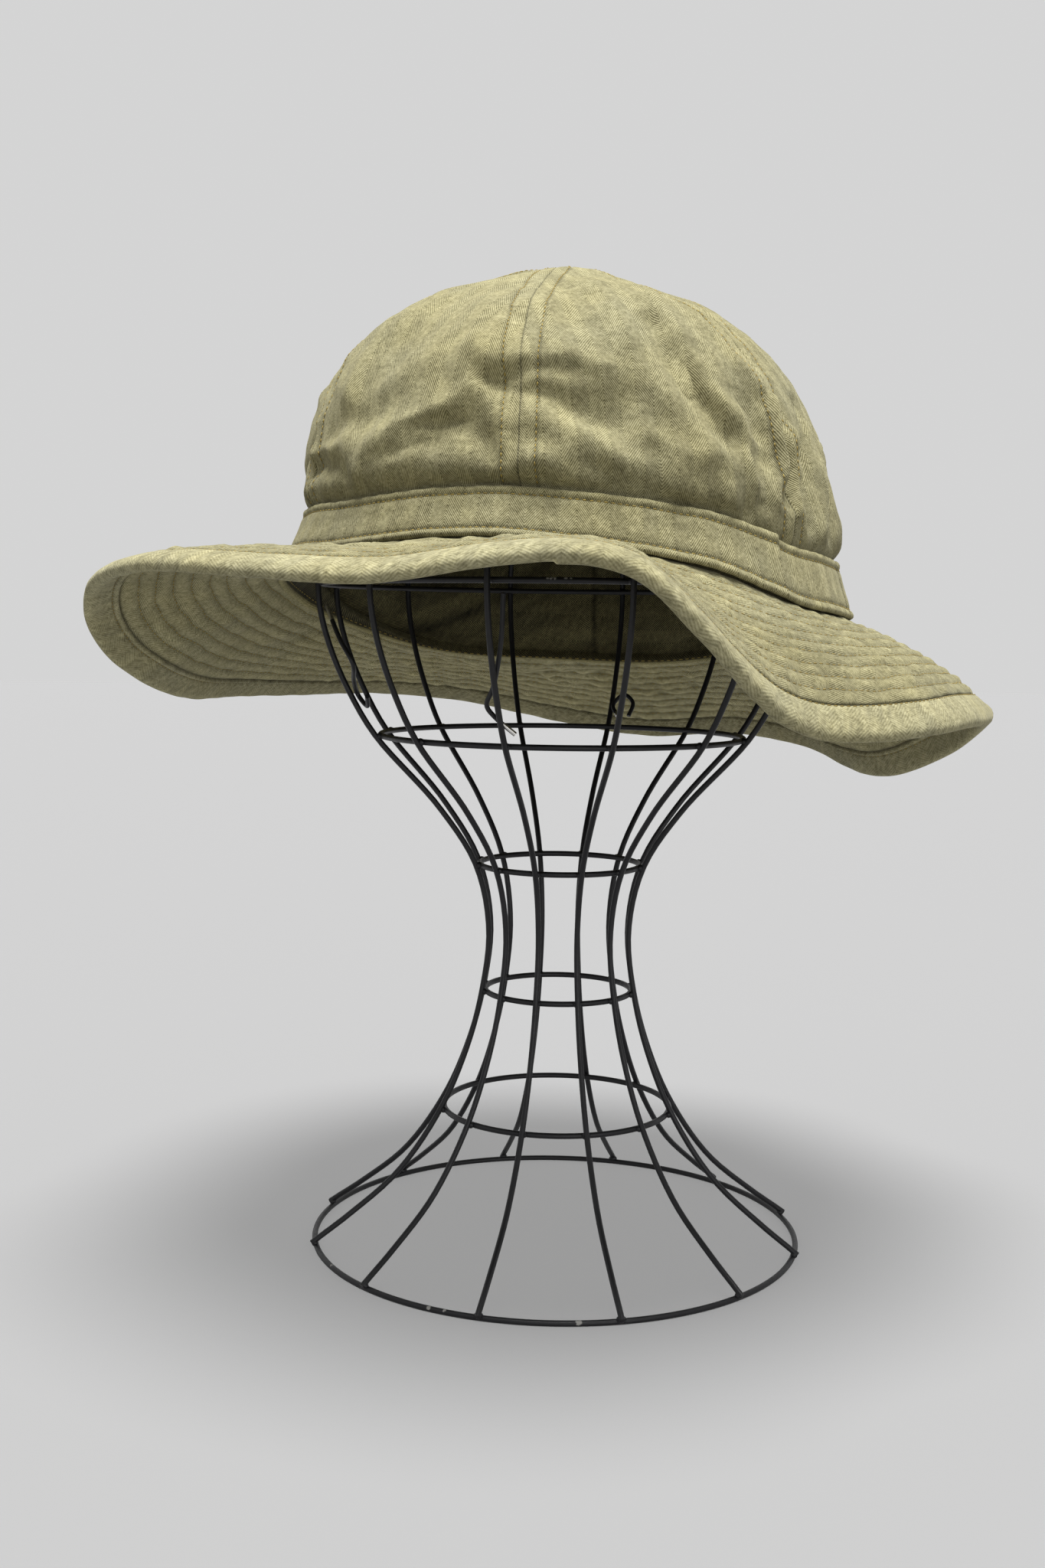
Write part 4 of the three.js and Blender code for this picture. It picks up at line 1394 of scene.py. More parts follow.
@dataclass
class HatBand:
    """The flared band between crown and brim, with a lip at each edge.

    Attributes:
        form: Curves of the hat.
        columns: Columns once round.
        overlap_start: Azimuth at which the band's outer end begins to rise.
        overlap_step: How far the outer end lies above the inner one.
        end_azimuth: Azimuth of the outer end.
        section: Distance up and depth of each point of the section.
        stitch_rows: Distances up of the stitch rows.
        half_height: Half of the band's height, without the parts turned in.
        lift: Unevenness of the band.
        puckers: Number of puckers at each edge.
        pucker_depth: Depth of the puckers.
        overlap_length: Angle over which the step runs out.
        end_rise: Height of the outer end.
        end_groove: Groove at the outer end.
        up_tones_and_shade: Tones up the band: paler lips, and painted shade in the grooves of the two stitch rows.
        joint_shade: Dark line above the brim.
        joint_side: Where round the hat that line shows.
        side_shade: Darker tone at the left front.
        end_line: Painted shade along the outer end.
        step_line: Painted shade along the start of the overlap.
        inner_tone: Tone of the parts turned in.
        chart_radius: Radius at which the cloth map is true.
    """

    form: HatForm
    columns: int = 400
    overlap_start: float = 42.5
    overlap_step: float = 1.3
    end_azimuth: float = 74.0
    section: tuple[tuple[float, float], ...] = (
        (0.1, -1.2), (-0.25, -0.95), (-0.45, -0.35), (-0.32, 0.25), (0.0, 0.62), (0.5, 0.80), (1.1, 0.80),
        (1.7, 0.58), (2.15, 0.22), (2.45, -0.05), (2.8, 0.10), (3.6, 0.36), (5.2, 0.42), (7.0, 0.34),
        (9.0, 0.26), (11.0, 0.28), (12.8, 0.36), (13.9, 0.22), (14.4, -0.03), (14.8, 0.15), (15.3, 0.52),
        (16.0, 0.74), (16.7, 0.62), (17.1, 0.25), (17.2, -0.35), (17.0, -1.2), (13.5, -1.2), (10.0, -1.2),
        (6.5, -1.2), (3.2, -1.2),
    )
    stitch_rows: tuple[float, ...] = (2.45, 14.4)
    half_height: float = 8.7
    lift: Ripple = Ripple(21, 14.0, 34.0, size=0.30)
    puckers: int = 86
    pucker_depth: float = 0.15
    overlap_length: float = 24.0
    end_rise: float = 0.25
    end_groove: Bump = Bump(-0.4, 0.0, 0.7)
    # paler lips; painted shade in the grooves of the two stitch rows
    up_tones_and_shade: tuple[Bump, ...] = (
        Bump(0.14, 16.2, 0.9),
        Bump(0.10, 0.8, 1.0),
        Bump(-0.50, 2.45, 0.5),
        Bump(-0.45, 14.4, 0.4),
    )
    joint_shade: Bump = Bump(-0.45, 0.2, 0.7)
    joint_side: Bump = Bump(1.0, -42.0, 36.0)
    side_shade: Bump = Bump(-0.20, -46.0, 28.0)
    # painted shade along the outer end and along the step of the overlap
    end_line: Bump = Bump(-0.35, 0.0, 0.5)
    step_line: Bump = Bump(-0.30, 0.0, 0.5)
    inner_tone: float = -0.05
    chart_radius: float = 95.0

    def face(self, azimuth: Array, along: Array, depth: Array) -> Array:
        """Places spots of the band's section.

        Args:
            azimuth: One azimuth for each row, the last 360 past the first.
            along: Distances up the band.
            depth: Distances outwards.

        Returns:
            Points, rows by columns by 3.
        """
        form = self.form
        turn = azimuth[:, None]
        middle = form.band_point(turn, np.array([[0.4, 0.5, 0.6]]) + 0 * turn)
        normal = grid_normals(middle, True)[:, 1:2]
        base = form.band_point(turn + 0 * along, along / form.band_width)
        near_edge = bell(self.half_height - np.abs(along - self.half_height), 3.0)
        lift = self.lift.at(middle[:, 1:2])
        pucker = self.pucker_depth * ring_waves(turn, self.puckers, 2.0) * near_edge
        over = turn_between(turn, self.overlap_start)
        runs_out = smooth((over + self.overlap_length) / self.overlap_length)
        tab = self.overlap_step * smooth((0.25 - over) / 0.5) * runs_out
        past = np.radians(turn_between(turn, self.end_azimuth)) * form.seam_radius
        end = self.end_rise * smooth(0.5 + past / 0.8) * bell(np.maximum(past, 0.0), 14.0) + self.end_groove.at(past)
        raised = np.where(depth > -1.0, lift + pucker + 0.45 * tab + end, 0.0)
        points = base + normal * (depth + raised)[..., None]
        points[..., 2] += tab * np.maximum(along - 8.0, 0.0) / 9.0
        return points

    def build(self, cloth: Material, thread: Material) -> None:
        """Makes the band and its two rows of stitches.

        Args:
            cloth: Material of the band.
            thread: Material of the stitches.
        """
        even = np.linspace(-180, 180, self.columns + 1)
        near = np.linspace(-1.2, 1.2, 25)
        azimuth = np.unique(np.concatenate([even, self.overlap_start + near, self.end_azimuth + near]).round(4))
        section = np.array(self.section + self.section[:1])
        along = np.repeat(section[None, :, 0], len(azimuth), axis=0)
        depth = np.repeat(section[None, :, 1], len(azimuth), axis=0)
        points = self.face(azimuth, along, depth)
        wide = np.radians(azimuth)[:, None] * self.chart_radius
        chart = np.stack([wide + 0 * along, along + 0 * wide], -1) * MM
        # paler lips; painted shade in the stitch grooves, where the band meets the brim and at the left front
        piece_tones_and_shading = add_up(self.up_tones_and_shade, along) + self.joint_shade.at(along) * self.joint_side.round(azimuth)
        piece_tones_and_shading = piece_tones_and_shading + self.side_shade.round(azimuth)
        edge = np.radians(turn_between(azimuth, self.end_azimuth))[:, None] * self.form.seam_radius
        step = np.radians(turn_between(azimuth, self.overlap_start))[:, None] * self.form.seam_radius
        # painted shade at the outer end and at the overlap's step
        piece_tones_and_shading = piece_tones_and_shading + self.end_line.at(edge) + self.step_line.at(step) * smooth((along - 9.0) / 5.0)
        piece_tones_and_shading = np.where(depth > -0.9, piece_tones_and_shading, self.inner_tone)
        band = loft("hat_band_cloth", points, chart, cloth, True, piece_tones_and_shading)
        finish_piece(band, "cloth", "hat_band")
        stitches = StitchRows("band_topstitch")
        for row in self.stitch_rows:
            index = int(np.argmin(np.abs(section[3:24, 0] - row))) + 3
            line = points[:, index]
            outwards = line - np.array([*(np.array(self.form.seam_centre) + self.form.axis[:2]), 0.0])
            outwards[:, 2] = 0.3 * np.linalg.norm(outwards[:, :2], axis=1)
            stitches.add(line + unit(outwards) * 0.05, unit(outwards))
        stitches.build(thread, "cloth")


@dataclass
class Sweatband:
    """The band inside the hat, with the lip where it meets the brim.

    Attributes:
        form: Curves of the hat.
        columns: Columns once round.
        ply: Thickness of the cloth.
        seam_azimuth: Azimuth of the upright join.
        lip_line: Reach of the lip over the brim, and its size.
        lip: Distance, depth, tone and push of each point of the lip's section; the tone is painted light on the lip's
            crest, where it shows under the brim, and painted shade in its stitch groove.
        wave: Unevenness of the inner face.
        join_line: Painted shade along the upright join.
        inside_tone: Tone of the inner face.
        crease_streaks: Painted light and shade of slanting creases over the inner face.
        lip_start: Depth at which the lip begins.
        chart_radius: Radius at which the cloth map is true.
    """

    form: HatForm
    columns: int = 320
    ply: float = 1.0
    seam_azimuth: float = 172.0
    lip_line: AzimuthTable = AzimuthTable(
        ("reach", "size"),
        (
            (-180, 0.0, 0.45), (-150, 0.0, 0.45), (-125, 3.0, 0.80), (-105, 7.0, 1.00), (-85, 7.0, 1.00),
            (-65, 3.0, 1.00), (-40, 0.0, 0.80), (0, 0.0, 0.70), (60, 0.0, 0.80), (120, 0.0, 0.90),
            (155, 0.0, 0.55),
        ),
    )
    # third column: painted light on the lip's crest, painted shade in its stitch groove
    lip: tuple[tuple[float, float, float, float], ...] = (
        (-0.25, 0.1, 0.0, 0.0), (-0.3, 2.3, 0.0, 0.0), (0.2, 2.75, 0.2, 1.0), (1.1, 3.0, 0.9, 1.0),
        (1.55, 3.4, 1.8, 1.0), (1.3, 4.05, 2.2, 1.0), (0.4, 4.35, 2.2, 1.0), (-0.7, 4.1, 1.6, 1.0),
        (-1.2, 3.5, -0.5, 1.0), (-1.35, 3.1, -0.8, 0.9), (-1.6, 2.9, -0.4, 0.2), (-1.75, 2.2, -0.3, 0.0),
        (-1.15, 0.5, 0.0, 0.0),
    )
    wave: Ripple = Ripple(31, 11.0, 34.0, size=0.45)
    # painted shade along the upright join
    join_line: Bump = Bump(-0.55, 0.0, 0.6)
    inside_tone: float = -0.05
    # painted light and shade of slanting creases
    crease_streaks: Ripple = Ripple(61, 7.0, 26.0, size=0.30)
    lip_start: float = 2.3
    chart_radius: float = 90.0

    def build(self, cloth: Material, thread: Material) -> None:
        """Makes the sweatband and its lower stitches.

        Args:
            cloth: Material of the sweatband.
            thread: Material of the stitches.
        """
        form = self.form
        azimuth = self.seam_azimuth - np.linspace(360, 0, self.columns + 1)
        share = np.concatenate([np.linspace(0.01, 1.0, 16), np.linspace(1.05, 2.0, 14)])
        outer = form.lining_point(azimuth[:, None] + 0 * share, share[None] + 0 * azimuth[:, None])
        normal = grid_normals(outer, True)
        over = turn_between(azimuth, self.seam_azimuth)[:, None] * 1.55
        wave = self.ply * self.wave.at(outer)
        join = 0.30 * (bell(over - 1.8, 1.3) + bell(over + 1.8, 1.3)) - 0.35 * bell(over, 0.5)
        inner = outer - normal * (self.ply + wave + join)[..., None]
        lip = np.array(self.lip)
        push = self.lip_line.at("reach", azimuth)[:, None] * lip[None, :, 3]
        size = self.lip_line.at("size", azimuth)[:, None]
        below = lip[None, :, 1] - self.lip_start
        deep = np.where(below > 0, self.lip_start + below * size, lip[None, :, 1])
        rolled = form.brim_spot(azimuth, lip[None, :, 0] + push, deep + 0.09 * push)
        wall = np.concatenate([outer, inner[:, ::-1], rolled[:, ::-1], outer[:, :1]], axis=1)
        wide = np.radians(azimuth)[:, None] * self.chart_radius
        climb = share[None] * 17.0 + 0 * wide
        under = -1.2 * np.arange(1, len(lip) + 1)[None] + 0 * wide
        up = np.concatenate([climb, climb[:, ::-1], under, climb[:, :1]], axis=1)
        chart = np.stack([wide + 0 * up, up], -1) * MM
        slant = np.stack([wide - 1.7 * climb, 0.35 * climb, 0 * climb], -1)
        # painted shade along the join, and painted light and shade of slanting creases
        shade = self.inside_tone + self.join_line.at(over) + self.crease_streaks.at(slant)
        # painted light on the lip's crest and painted shade in its stitch groove
        tone = lip[None, ::-1, 2] + 0 * under
        tone_and_shading = np.concatenate([0 * climb, shade, tone, 0 * climb[:, :1]], axis=1)
        piece = loft("sweatband_cloth", wall, chart, cloth, True, tone_and_shading)
        finish_piece(piece, "inner_cloth", "sweatband")
        stitches = StitchRows("sweatband_stitch", length=1.9, pitch=2.7)
        groove = int(np.argmin(lip[:, 2]))
        ring = grid_normals(rolled, True)
        stitches.add(rolled[:, groove], -ring[:, groove])
        stitches.build(thread, "inner_cloth")


@dataclass
class Brim:
    """The quilted brim and its plain, thick border.

    Attributes:
        form: Curves of the hat.
        columns: Columns once round.
        spans: Cushions between the stitch rows.
        steps: Steps of the mesh across one cushion.
        ply: Thickness of the brim.
        border_width: Width of the border.
        border_gap: Gap between brim and border.
        flat_start: Inner radius of the brim's cloth, laid flat.
        quilt: Height of a cushion.
        wander: How far the stitch rows wander.
        hem_azimuth: Azimuth of the border's join.
        dents: Azimuth, distance, spread, width and size of each dent.
        tip_swell: How much thicker the border is at the right tip.
        tip_droop: How far the border's edge turns down there.
        border_section: Distance out and depth of each point of the border's section.
        stitch_points: Points of that section where the upper and the lower stitches lie.
        left_calm: Calmer crumple at the left underside.
        joint_shade: Shade on the cloth beside the band.
        joint_side: Where round the hat that shade lies.
        back_shading: Stronger painted light and shade of the quilting at the back underside.
        edge_wear: Pale tone along the outer edge.
        stitch_groove_shade: Painted shade along the groove of the lower stitches.
        border_joint_shade: Painted shade at the border's inner edge, where it meets the brim.
        under_light: Painted light on places of the border's underside.
        hem_line: Pale line at the border's join.
        hem_step: Height of the step at the join.
        sway: Unevenness of the border.
        cushion_light: Painted light on the cushions, above and below.
        ground_shade: Painted shade between the cushions, above and below.
        crumple_light: Painted light and shade that follow the crumple, above and below.
        chart_radius: Radius at which the border's cloth map is true.
    """

    form: HatForm
    columns: int = 480
    spans: int = 10
    steps: int = 6
    ply: float = 2.4
    border_width: float = 12.0
    border_gap: float = 0.03
    flat_start: float = 96.0
    quilt: float = 0.60
    wander: float = 0.40
    hem_azimuth: float = -2.7
    dents: tuple[tuple[float, ...], ...] = (
        (-168.0, 9.0, 13.0, 6.0, 1.8), (-150.0, 16.0, 9.0, 6.0, -1.2), (172.0, 14.0, 9.0, 6.0, -1.3),
        (-100.0, 22.0, 10.0, 9.0, 1.3), (-118.0, 14.0, 8.0, 8.0, -1.2),
    )
    tip_swell: Bump = Bump(0.9, 101.0, 11.0)
    tip_droop: Bump = Bump(3.2, 101.0, 14.0)
    border_section: tuple[tuple[float, float], ...] = (
        (0.0, 1.2), (0.0, 0.3), (0.25, 0.15), (0.7, -0.20), (1.3, -0.42), (2.0, -0.55), (2.8, -0.66),
        (4.2, -0.80), (6.0, -0.98), (8.0, -1.10), (9.6, -1.02), (10.8, -0.62), (11.6, 0.05), (12.0, 0.80),
        (12.1, 1.35), (11.95, 2.1), (11.5, 2.85), (10.6, 3.38), (9.4, 3.58), (7.6, 3.50), (5.6, 3.34),
        (3.9, 3.10), (2.9, 2.85), (2.35, 2.42), (1.75, 2.98), (1.1, 3.52), (0.35, 3.30), (0.0, 2.5),
    )
    stitch_points: tuple[int, int] = (3, 23)
    left_calm: Bump = Bump(-0.75, -78.0, 42.0)
    joint_shade: Bump = Bump(-0.40, 0.0, 3.2)
    joint_side: Bump = Bump(1.0, -42.0, 36.0)
    # stronger painted light and shade of the quilting at the back underside
    back_shading: Bump = Bump(0.9, 172.0, 62.0)
    edge_wear: Bump = Bump(0.10, 11.0, 2.4)
    # painted shade in the groove of the lower stitches
    stitch_groove_shade: Bump = Bump(-0.42, 2.3, 0.35)
    # painted shade at the border's inner edge, where it meets the brim
    border_joint_shade: Bump = Bump(-0.34, 0.0, 0.5)
    # painted light on places of the border's underside
    under_light: tuple[Bump, ...] = (Bump(0.28, 108.0, 22.0), Bump(0.18, -92.0, 36.0))
    hem_line: Bump = Bump(0.9, 0.0, 0.25)
    hem_step: float = 0.8
    sway: Ripple = Ripple(51, 9.0, 30.0)
    # painted light on the cushions and crumple, painted shade between the cushions
    cushion_light: tuple[float, float] = (0.26, 0.42)
    ground_shade: tuple[float, float] = (-0.42, -0.17)
    crumple_light: tuple[float, float] = (0.10, 0.24)
    chart_radius: float = 150.0

    def crumple(self, azimuth: Array, distance: Array, share: Array, side: int) -> Array:
        """Crumple of the quilted cloth between its rows of stitches.

        Args:
            azimuth: Azimuths of the rows.
            distance: Distances along the cloth, rows by columns.
            share: Shares of the brim's width, one for each column.
            side: 0 above, 1 below.

        Returns:
            Heights from about -1 to 1.
        """
        span = np.minimum(np.floor(share * self.spans + 1e-6), self.spans - 1)
        own = (span + 20.0 * side)[None, :, None] * np.array([37.0, 11.0, 53.0])
        middle = distance[:, -1:] * ((span + 0.5) / self.spans)[None]
        ridge = Ripple(41 + side, 4.5, 13.0, size=0.85).at(self.form.brim_sheet(azimuth, middle) + own)
        return ridge + Ripple(43 + side, 4.0, 9.0, size=0.35).at(self.form.brim_sheet(azimuth, distance) + own)

    def dent(self, azimuth: Array, distance: Array) -> Array:
        """Depth of the broad dents of the brim.

        Args:
            azimuth: Azimuths of the rows, as one column.
            distance: Distances along the cloth, rows by columns.

        Returns:
            Distances down.
        """
        depth = np.zeros(distance.shape)
        for middle, place, spread, width, size in self.dents:
            depth += size * bell(turn_between(azimuth, middle), spread) * bell(distance - place, width)
        return depth * smooth(distance / 4.0)

    def azimuths(self) -> Array:
        """Azimuth of each row, once round and closer together at the border's join."""
        even = np.linspace(-180, 180, self.columns + 1)
        return np.unique(np.concatenate([even, self.hem_azimuth + np.linspace(-0.3, 0.3, 5)]).round(4))

    def build_cloth(self, azimuth: Array, cloth: Material) -> tuple[Array, Array]:
        """Makes the quilted cloth.

        Args:
            azimuth: Azimuths of the rows.
            cloth: Material of the quilted cloth.

        Returns:
            The points of its upper and of its lower face.
        """
        form = self.form
        width = form.brim_length(azimuth) - self.border_width - self.border_gap
        share = np.linspace(0, 1, self.spans * self.steps + 1)
        cushion = np.sin(math.pi * ((share * self.spans) % 1.0)) ** 0.75
        cushion[-1] = cushion[0] = 0.0
        distance = share[None] * width[:, None]
        free = smooth(share * 9.0) * smooth((1.0 - share) * 9.0)
        distance = distance + self.wander * free[None] * Ripple(45, 7.0, 24.0).at(form.brim_sheet(azimuth, distance))
        above = self.crumple(azimuth, distance, share, 0)
        below = self.crumple(azimuth, distance, share, 1) * (1.0 + self.left_calm.round(azimuth))
        dent = self.dent(azimuth[:, None], distance)
        tucked = smooth(distance / 7.0)
        face = form.brim_spot(azimuth, distance, dent - self.quilt * cushion * (0.8 + 0.75 * above))
        back = form.brim_spot(azimuth, distance, dent + self.ply + self.quilt * tucked * cushion * (1.1 + 1.1 * below))
        wall = np.concatenate([face, back[:, ::-1], face[:, :1]], axis=1)
        flat_radius = self.flat_start + distance
        turn = np.radians(azimuth)[:, None]
        plan = np.stack([flat_radius * np.sin(turn), flat_radius * np.cos(turn)], -1)
        chart = np.concatenate([plan, plan[:, ::-1] + np.array([3.1, 0.0]), plan[:, :1]], axis=1) * MM
        # painted light on cushions and crumple; painted shade between the cushions and beside the band
        shade = self.joint_shade.at(distance) * self.joint_side.round(azimuth)
        tone_above, tone_below = (tone_and_shading * cushion + tone for tone_and_shading, tone in zip(self.cushion_light, self.ground_shade))
        shading_above = tone_above + self.crumple_light[0] * above * cushion + shade
        shading_below = tone_below * (1.0 + self.back_shading.round(azimuth)) + self.crumple_light[1] * below * cushion
        tone_and_shading = np.concatenate([shading_above, shading_below[:, ::-1], shading_above[:, :1]], axis=1)
        brim = loft("brim_cloth", wall, chart, cloth, True, tone_and_shading)
        finish_piece(brim, "cloth", "brim")
        Crown.cloth_area(face)
        return face, back

    def build_border(self, azimuth: Array, cloth: Material) -> tuple[Array, Array]:
        """Makes the plain, thick border.

        Args:
            azimuth: Azimuths of the rows.
            cloth: Material of the border.

        Returns:
            The border's points and the direction down at each of them.
        """
        form = self.form
        section = np.array(self.border_section + self.border_section[:1])
        along = (form.brim_length(azimuth) - self.border_width)[:, None] + section[None, :, 0]
        over = section[None, :, 0] + 0 * along
        sway = self.sway.at(form.brim_sheet(azimuth, along))
        plump = 1.0 + self.tip_swell.round(azimuth) * smooth((over - 3.0) / 5.0)
        thick = 1.2 + (section[None, :, 1] - 1.2) * (1.0 + 0.03 * sway) * plump
        thick = thick + 0.16 * sway * smooth(over / 6.0)
        thick = thick + self.tip_droop.round(azimuth) * np.clip(over / self.border_width, 0.0, 1.0) ** 2
        past = turn_between(azimuth, self.hem_azimuth)[:, None]
        low_side = (section[None, :, 1] > 2.0) & (over > 3.0)
        thick = thick + np.where(low_side, self.hem_step * smooth(past / 0.3 + 0.5) * smooth(1.0 - past / 12.0), 0.0)
        rim = form.brim_spot(azimuth, along, thick)
        wide = np.radians(azimuth)[:, None] * self.chart_radius
        girth = run_along(section)
        chart = np.stack([wide + 0 * girth[None], girth[None] + 0 * wide], -1) * MM
        under = (section[None, :, 1] > 1.5) + 0 * along
        # pale tone along the outer edge; painted shade at the lower stitch groove and at the inner edge
        piece_tones_and_shading = self.edge_wear.at(over) + self.stitch_groove_shade.at(over) * under + self.border_joint_shade.at(over)
        piece_tones_and_shading = piece_tones_and_shading + np.where(low_side, self.hem_line.at(past), 0.0)
        # painted light on the border's underside
        for light in self.under_light:
            piece_tones_and_shading = piece_tones_and_shading + under * light.round(azimuth)
        edge = loft("brim_border_cloth", rim, chart, cloth, True, piece_tones_and_shading)
        finish_piece(edge, "cloth", "brim_border")
        return rim, form.brim_spot(azimuth, along, thick + 1.0) - rim

    def build(
        self,
        quilted: Material,
        border: Material,
        thread: Material,
        under_thread: Material,
    ) -> None:
        """Makes the brim, its border and their stitches.

        Args:
            quilted: Material of the quilted cloth.
            border: Material of the border.
            thread: Material of the stitches above and on the border.
            under_thread: Material of the stitches below.
        """
        azimuth = self.azimuths()
        face, back = self.build_cloth(azimuth, quilted)
        rim, down = self.build_border(azimuth, border)
        for name, sheet, yarn, sign in (
            ("brim_stitch_upper", face, thread, -1.0),
            ("brim_stitch_lower", back, under_thread, 1.0),
        ):
            stitches = StitchRows(name, length=1.7, pitch=2.4, width=0.42)
            across = grid_normals(sheet, True)
            for column in range(self.steps, self.spans * self.steps, self.steps):
                stitches.add(sheet[:, column], across[:, column] * sign)
            stitches.build(yarn, "cloth")
        stitches = StitchRows("border_topstitch", length=1.7, pitch=2.4, width=0.46)
        for index, sign in zip(self.stitch_points, (-1.0, 1.0)):
            stitches.add(rim[:, index], down[:, index] * sign)
        stitches.build(thread, "cloth")


# ---- wire pieces


@dataclass
class WireStand:
    """The welded cage: ribs in one sweep, rings inside them and a base ring under their feet.

    Attributes:
        axis: The middle of the base ring.
        wire: Radius of the wire.
        sides: Sides of the wire's section.
        rib_count: Number of ribs.
        first_rib: Azimuth of the first rib.
        rib_steps: Steps along a rib.
        ring_steps: Steps along a ring.
        base_radius: Radius of the base ring.
        base_height: Height of the base ring's centre line.
        top_radius: Radius of the top ring.
        top_height: Height of the top ring.
        profile: Height and radius along a rib.
        ring_heights: Heights of the middle rings.
        ring_inset: Distance of a middle ring inside the ribs, in radii of the wire.
        weld_size: Least and greatest size of a bead of weld, in radii of the wire.
        chips: Azimuth, radius, height and size of each bare spot.
    """

    axis: Array
    wire: float = 1.0
    sides: int = 12
    rib_count: int = 12
    first_rib: float = 13.0
    rib_steps: int = 90
    ring_steps: int = 132
    base_radius: float = 86.0
    base_height: float = 1.0
    top_radius: float = 15.4
    top_height: float = 333.6
    profile: tuple[tuple[float, float], ...] = (
        (2.0, 87.7), (3.9, 85.1), (11.5, 74.5), (25.8, 57.5), (47.4, 42.4), (68.8, 33.2), (89.3, 27.8),
        (111.8, 25.5), (134.3, 30.3), (154.8, 43.5), (179.8, 66.0), (193.5, 74.4), (208.0, 81.0), (221.9, 85.0),
        (232.0, 86.0), (240.0, 85.4), (250.0, 83.5), (260.0, 81.0), (277.0, 75.0), (294.0, 65.5), (309.0, 53.5),
        (321.0, 39.0), (329.9, 22.0), (331.9, 14.5),
    )
    ring_heights: tuple[float, ...] = (47.4, 89.3, 134.3, 179.8, 232.0)
    ring_inset: float = 1.86
    weld_size: tuple[float, float] = (1.12, 1.3)
    chips: tuple[tuple[float, float, float, float], ...] = (
        (-62.0, 86.2, 1.9, 0.7), (-28.5, 86.6, 1.7, 0.9), (-24.8, 86.5, 1.8, 0.6), (4.0, 86.6, 1.6, 1.0),
        (149.5, 85.4, 1.9, 0.7), (-4.6, 84.9, 232.7, 0.5), (-3.9, 84.9, 232.7, 0.6), (-3.1, 84.9, 232.7, 0.6),
        (-0.9, 84.9, 232.8, 0.6), (0.2, 84.9, 232.7, 0.4),
    )

    def chip_spots(self) -> tuple[tuple[float, float, float, float], ...]:
        """Places of the paint's bare spots.

        Returns:
            Their places in metres, each followed by its radius.
        """
        spots = []
        for azimuth, radius, height, size in self.chips:
            point = around(np.array(azimuth), np.array(radius), np.array(height), np.zeros(2)) + self.axis
            spots.append((*(float(value) * MM for value in point), size * MM))
        return tuple(spots)

    def rib_line(self) -> Array:
        """Centre line of a rib in its own plane, as x outwards and z up."""
        points = np.array([(radius, 0.0, height) for height, radius in self.profile])
        return catmull(points, self.rib_steps)

    def radius_at(self, height: float) -> tuple[float, float]:
        """Radius of the ribs at a height, and its change with height.

        Args:
            height: The height.

        Returns:
            The radius and its change for each millimetre up.
        """
        line = self.rib_line()
        radius = float(np.interp(height, line[:, 2], line[:, 0]))
        ahead = float(np.interp(height + 1.0, line[:, 2], line[:, 0]))
        return radius, ahead - radius

    def rings(self) -> list[tuple[float, float]]:
        """Radius and height of every ring's centre line, the base ring first.

        Returns:
            One radius and height for each ring.
        """
        found = [(self.base_radius, self.base_height)]
        for height in self.ring_heights:
            radius, slope = self.radius_at(height)
            found.append((radius - self.ring_inset * self.wire * math.hypot(1, slope), height))
        found.append((self.top_radius, self.top_height))
        return found

    def place(self, bm: bmesh.types.BMesh, name: str) -> Piece:
        """Moves a mesh to its place and makes an object of it.

        Args:
            bm: Mesh round the stand's axis, in millimetres. It is freed.
            name: Name of the object.

        Returns:
            The object, at the origin.
        """
        bmesh.ops.recalc_face_normals(bm, faces=bm.faces[:])
        shift = Matrix.Scale(MM, 4) @ Matrix.Translation(Vector(self.axis))
        bmesh.ops.transform(bm, matrix=shift, verts=bm.verts[:])
        return add_object(name, write_mesh(bm, name))

    @staticmethod
    def spin(bm: bmesh.types.BMesh, geom: list, angle: float, steps: int, **kind: bool) -> None:
        """Turns geometry round the stand's axis by an angle in radians, in steps."""
        bmesh.ops.spin(bm, geom=geom, cent=(0, 0, 0), axis=(0, 0, 1), angle=angle, steps=steps, **kind)

    def build_ribs(self) -> Piece:
        """Sweeps one rib and turns copies of it round the axis.

        Returns:
            An object with all the ribs.
        """
        bm = bmesh.new()
        sweep_wire(bm, self.rib_line(), self.wire, self.sides)
        start = Matrix.Rotation(math.radians(self.first_rib - 90.0), 4, "Z")
        bmesh.ops.transform(bm, matrix=start, verts=bm.verts[:])
        copies = self.rib_count - 1
        whole = bm.verts[:] + bm.edges[:] + bm.faces[:]
        self.spin(bm, whole, 2 * math.pi * copies / self.rib_count, copies, use_duplicate=True)
        return self.place(bm, "stand_ribs_raw")

    def build_rings(self) -> Piece:
        """Spins every ring from a round section.

        Returns:
            An object with all the rings.
        """
        bm = bmesh.new()
        for radius, height in self.rings():
            pose = Matrix.Translation((radius, 0, height)) @ Matrix.Rotation(math.pi / 2, 4, "X")
            made = bmesh.ops.create_circle(bm, radius=self.wire, segments=self.sides, matrix=pose)
            edges = list({edge for vert in made["verts"] for edge in vert.link_edges})
            self.spin(bm, made["verts"] + edges, 2 * math.pi, self.ring_steps, use_merge=True)
        return self.place(bm, "stand_rings_raw")

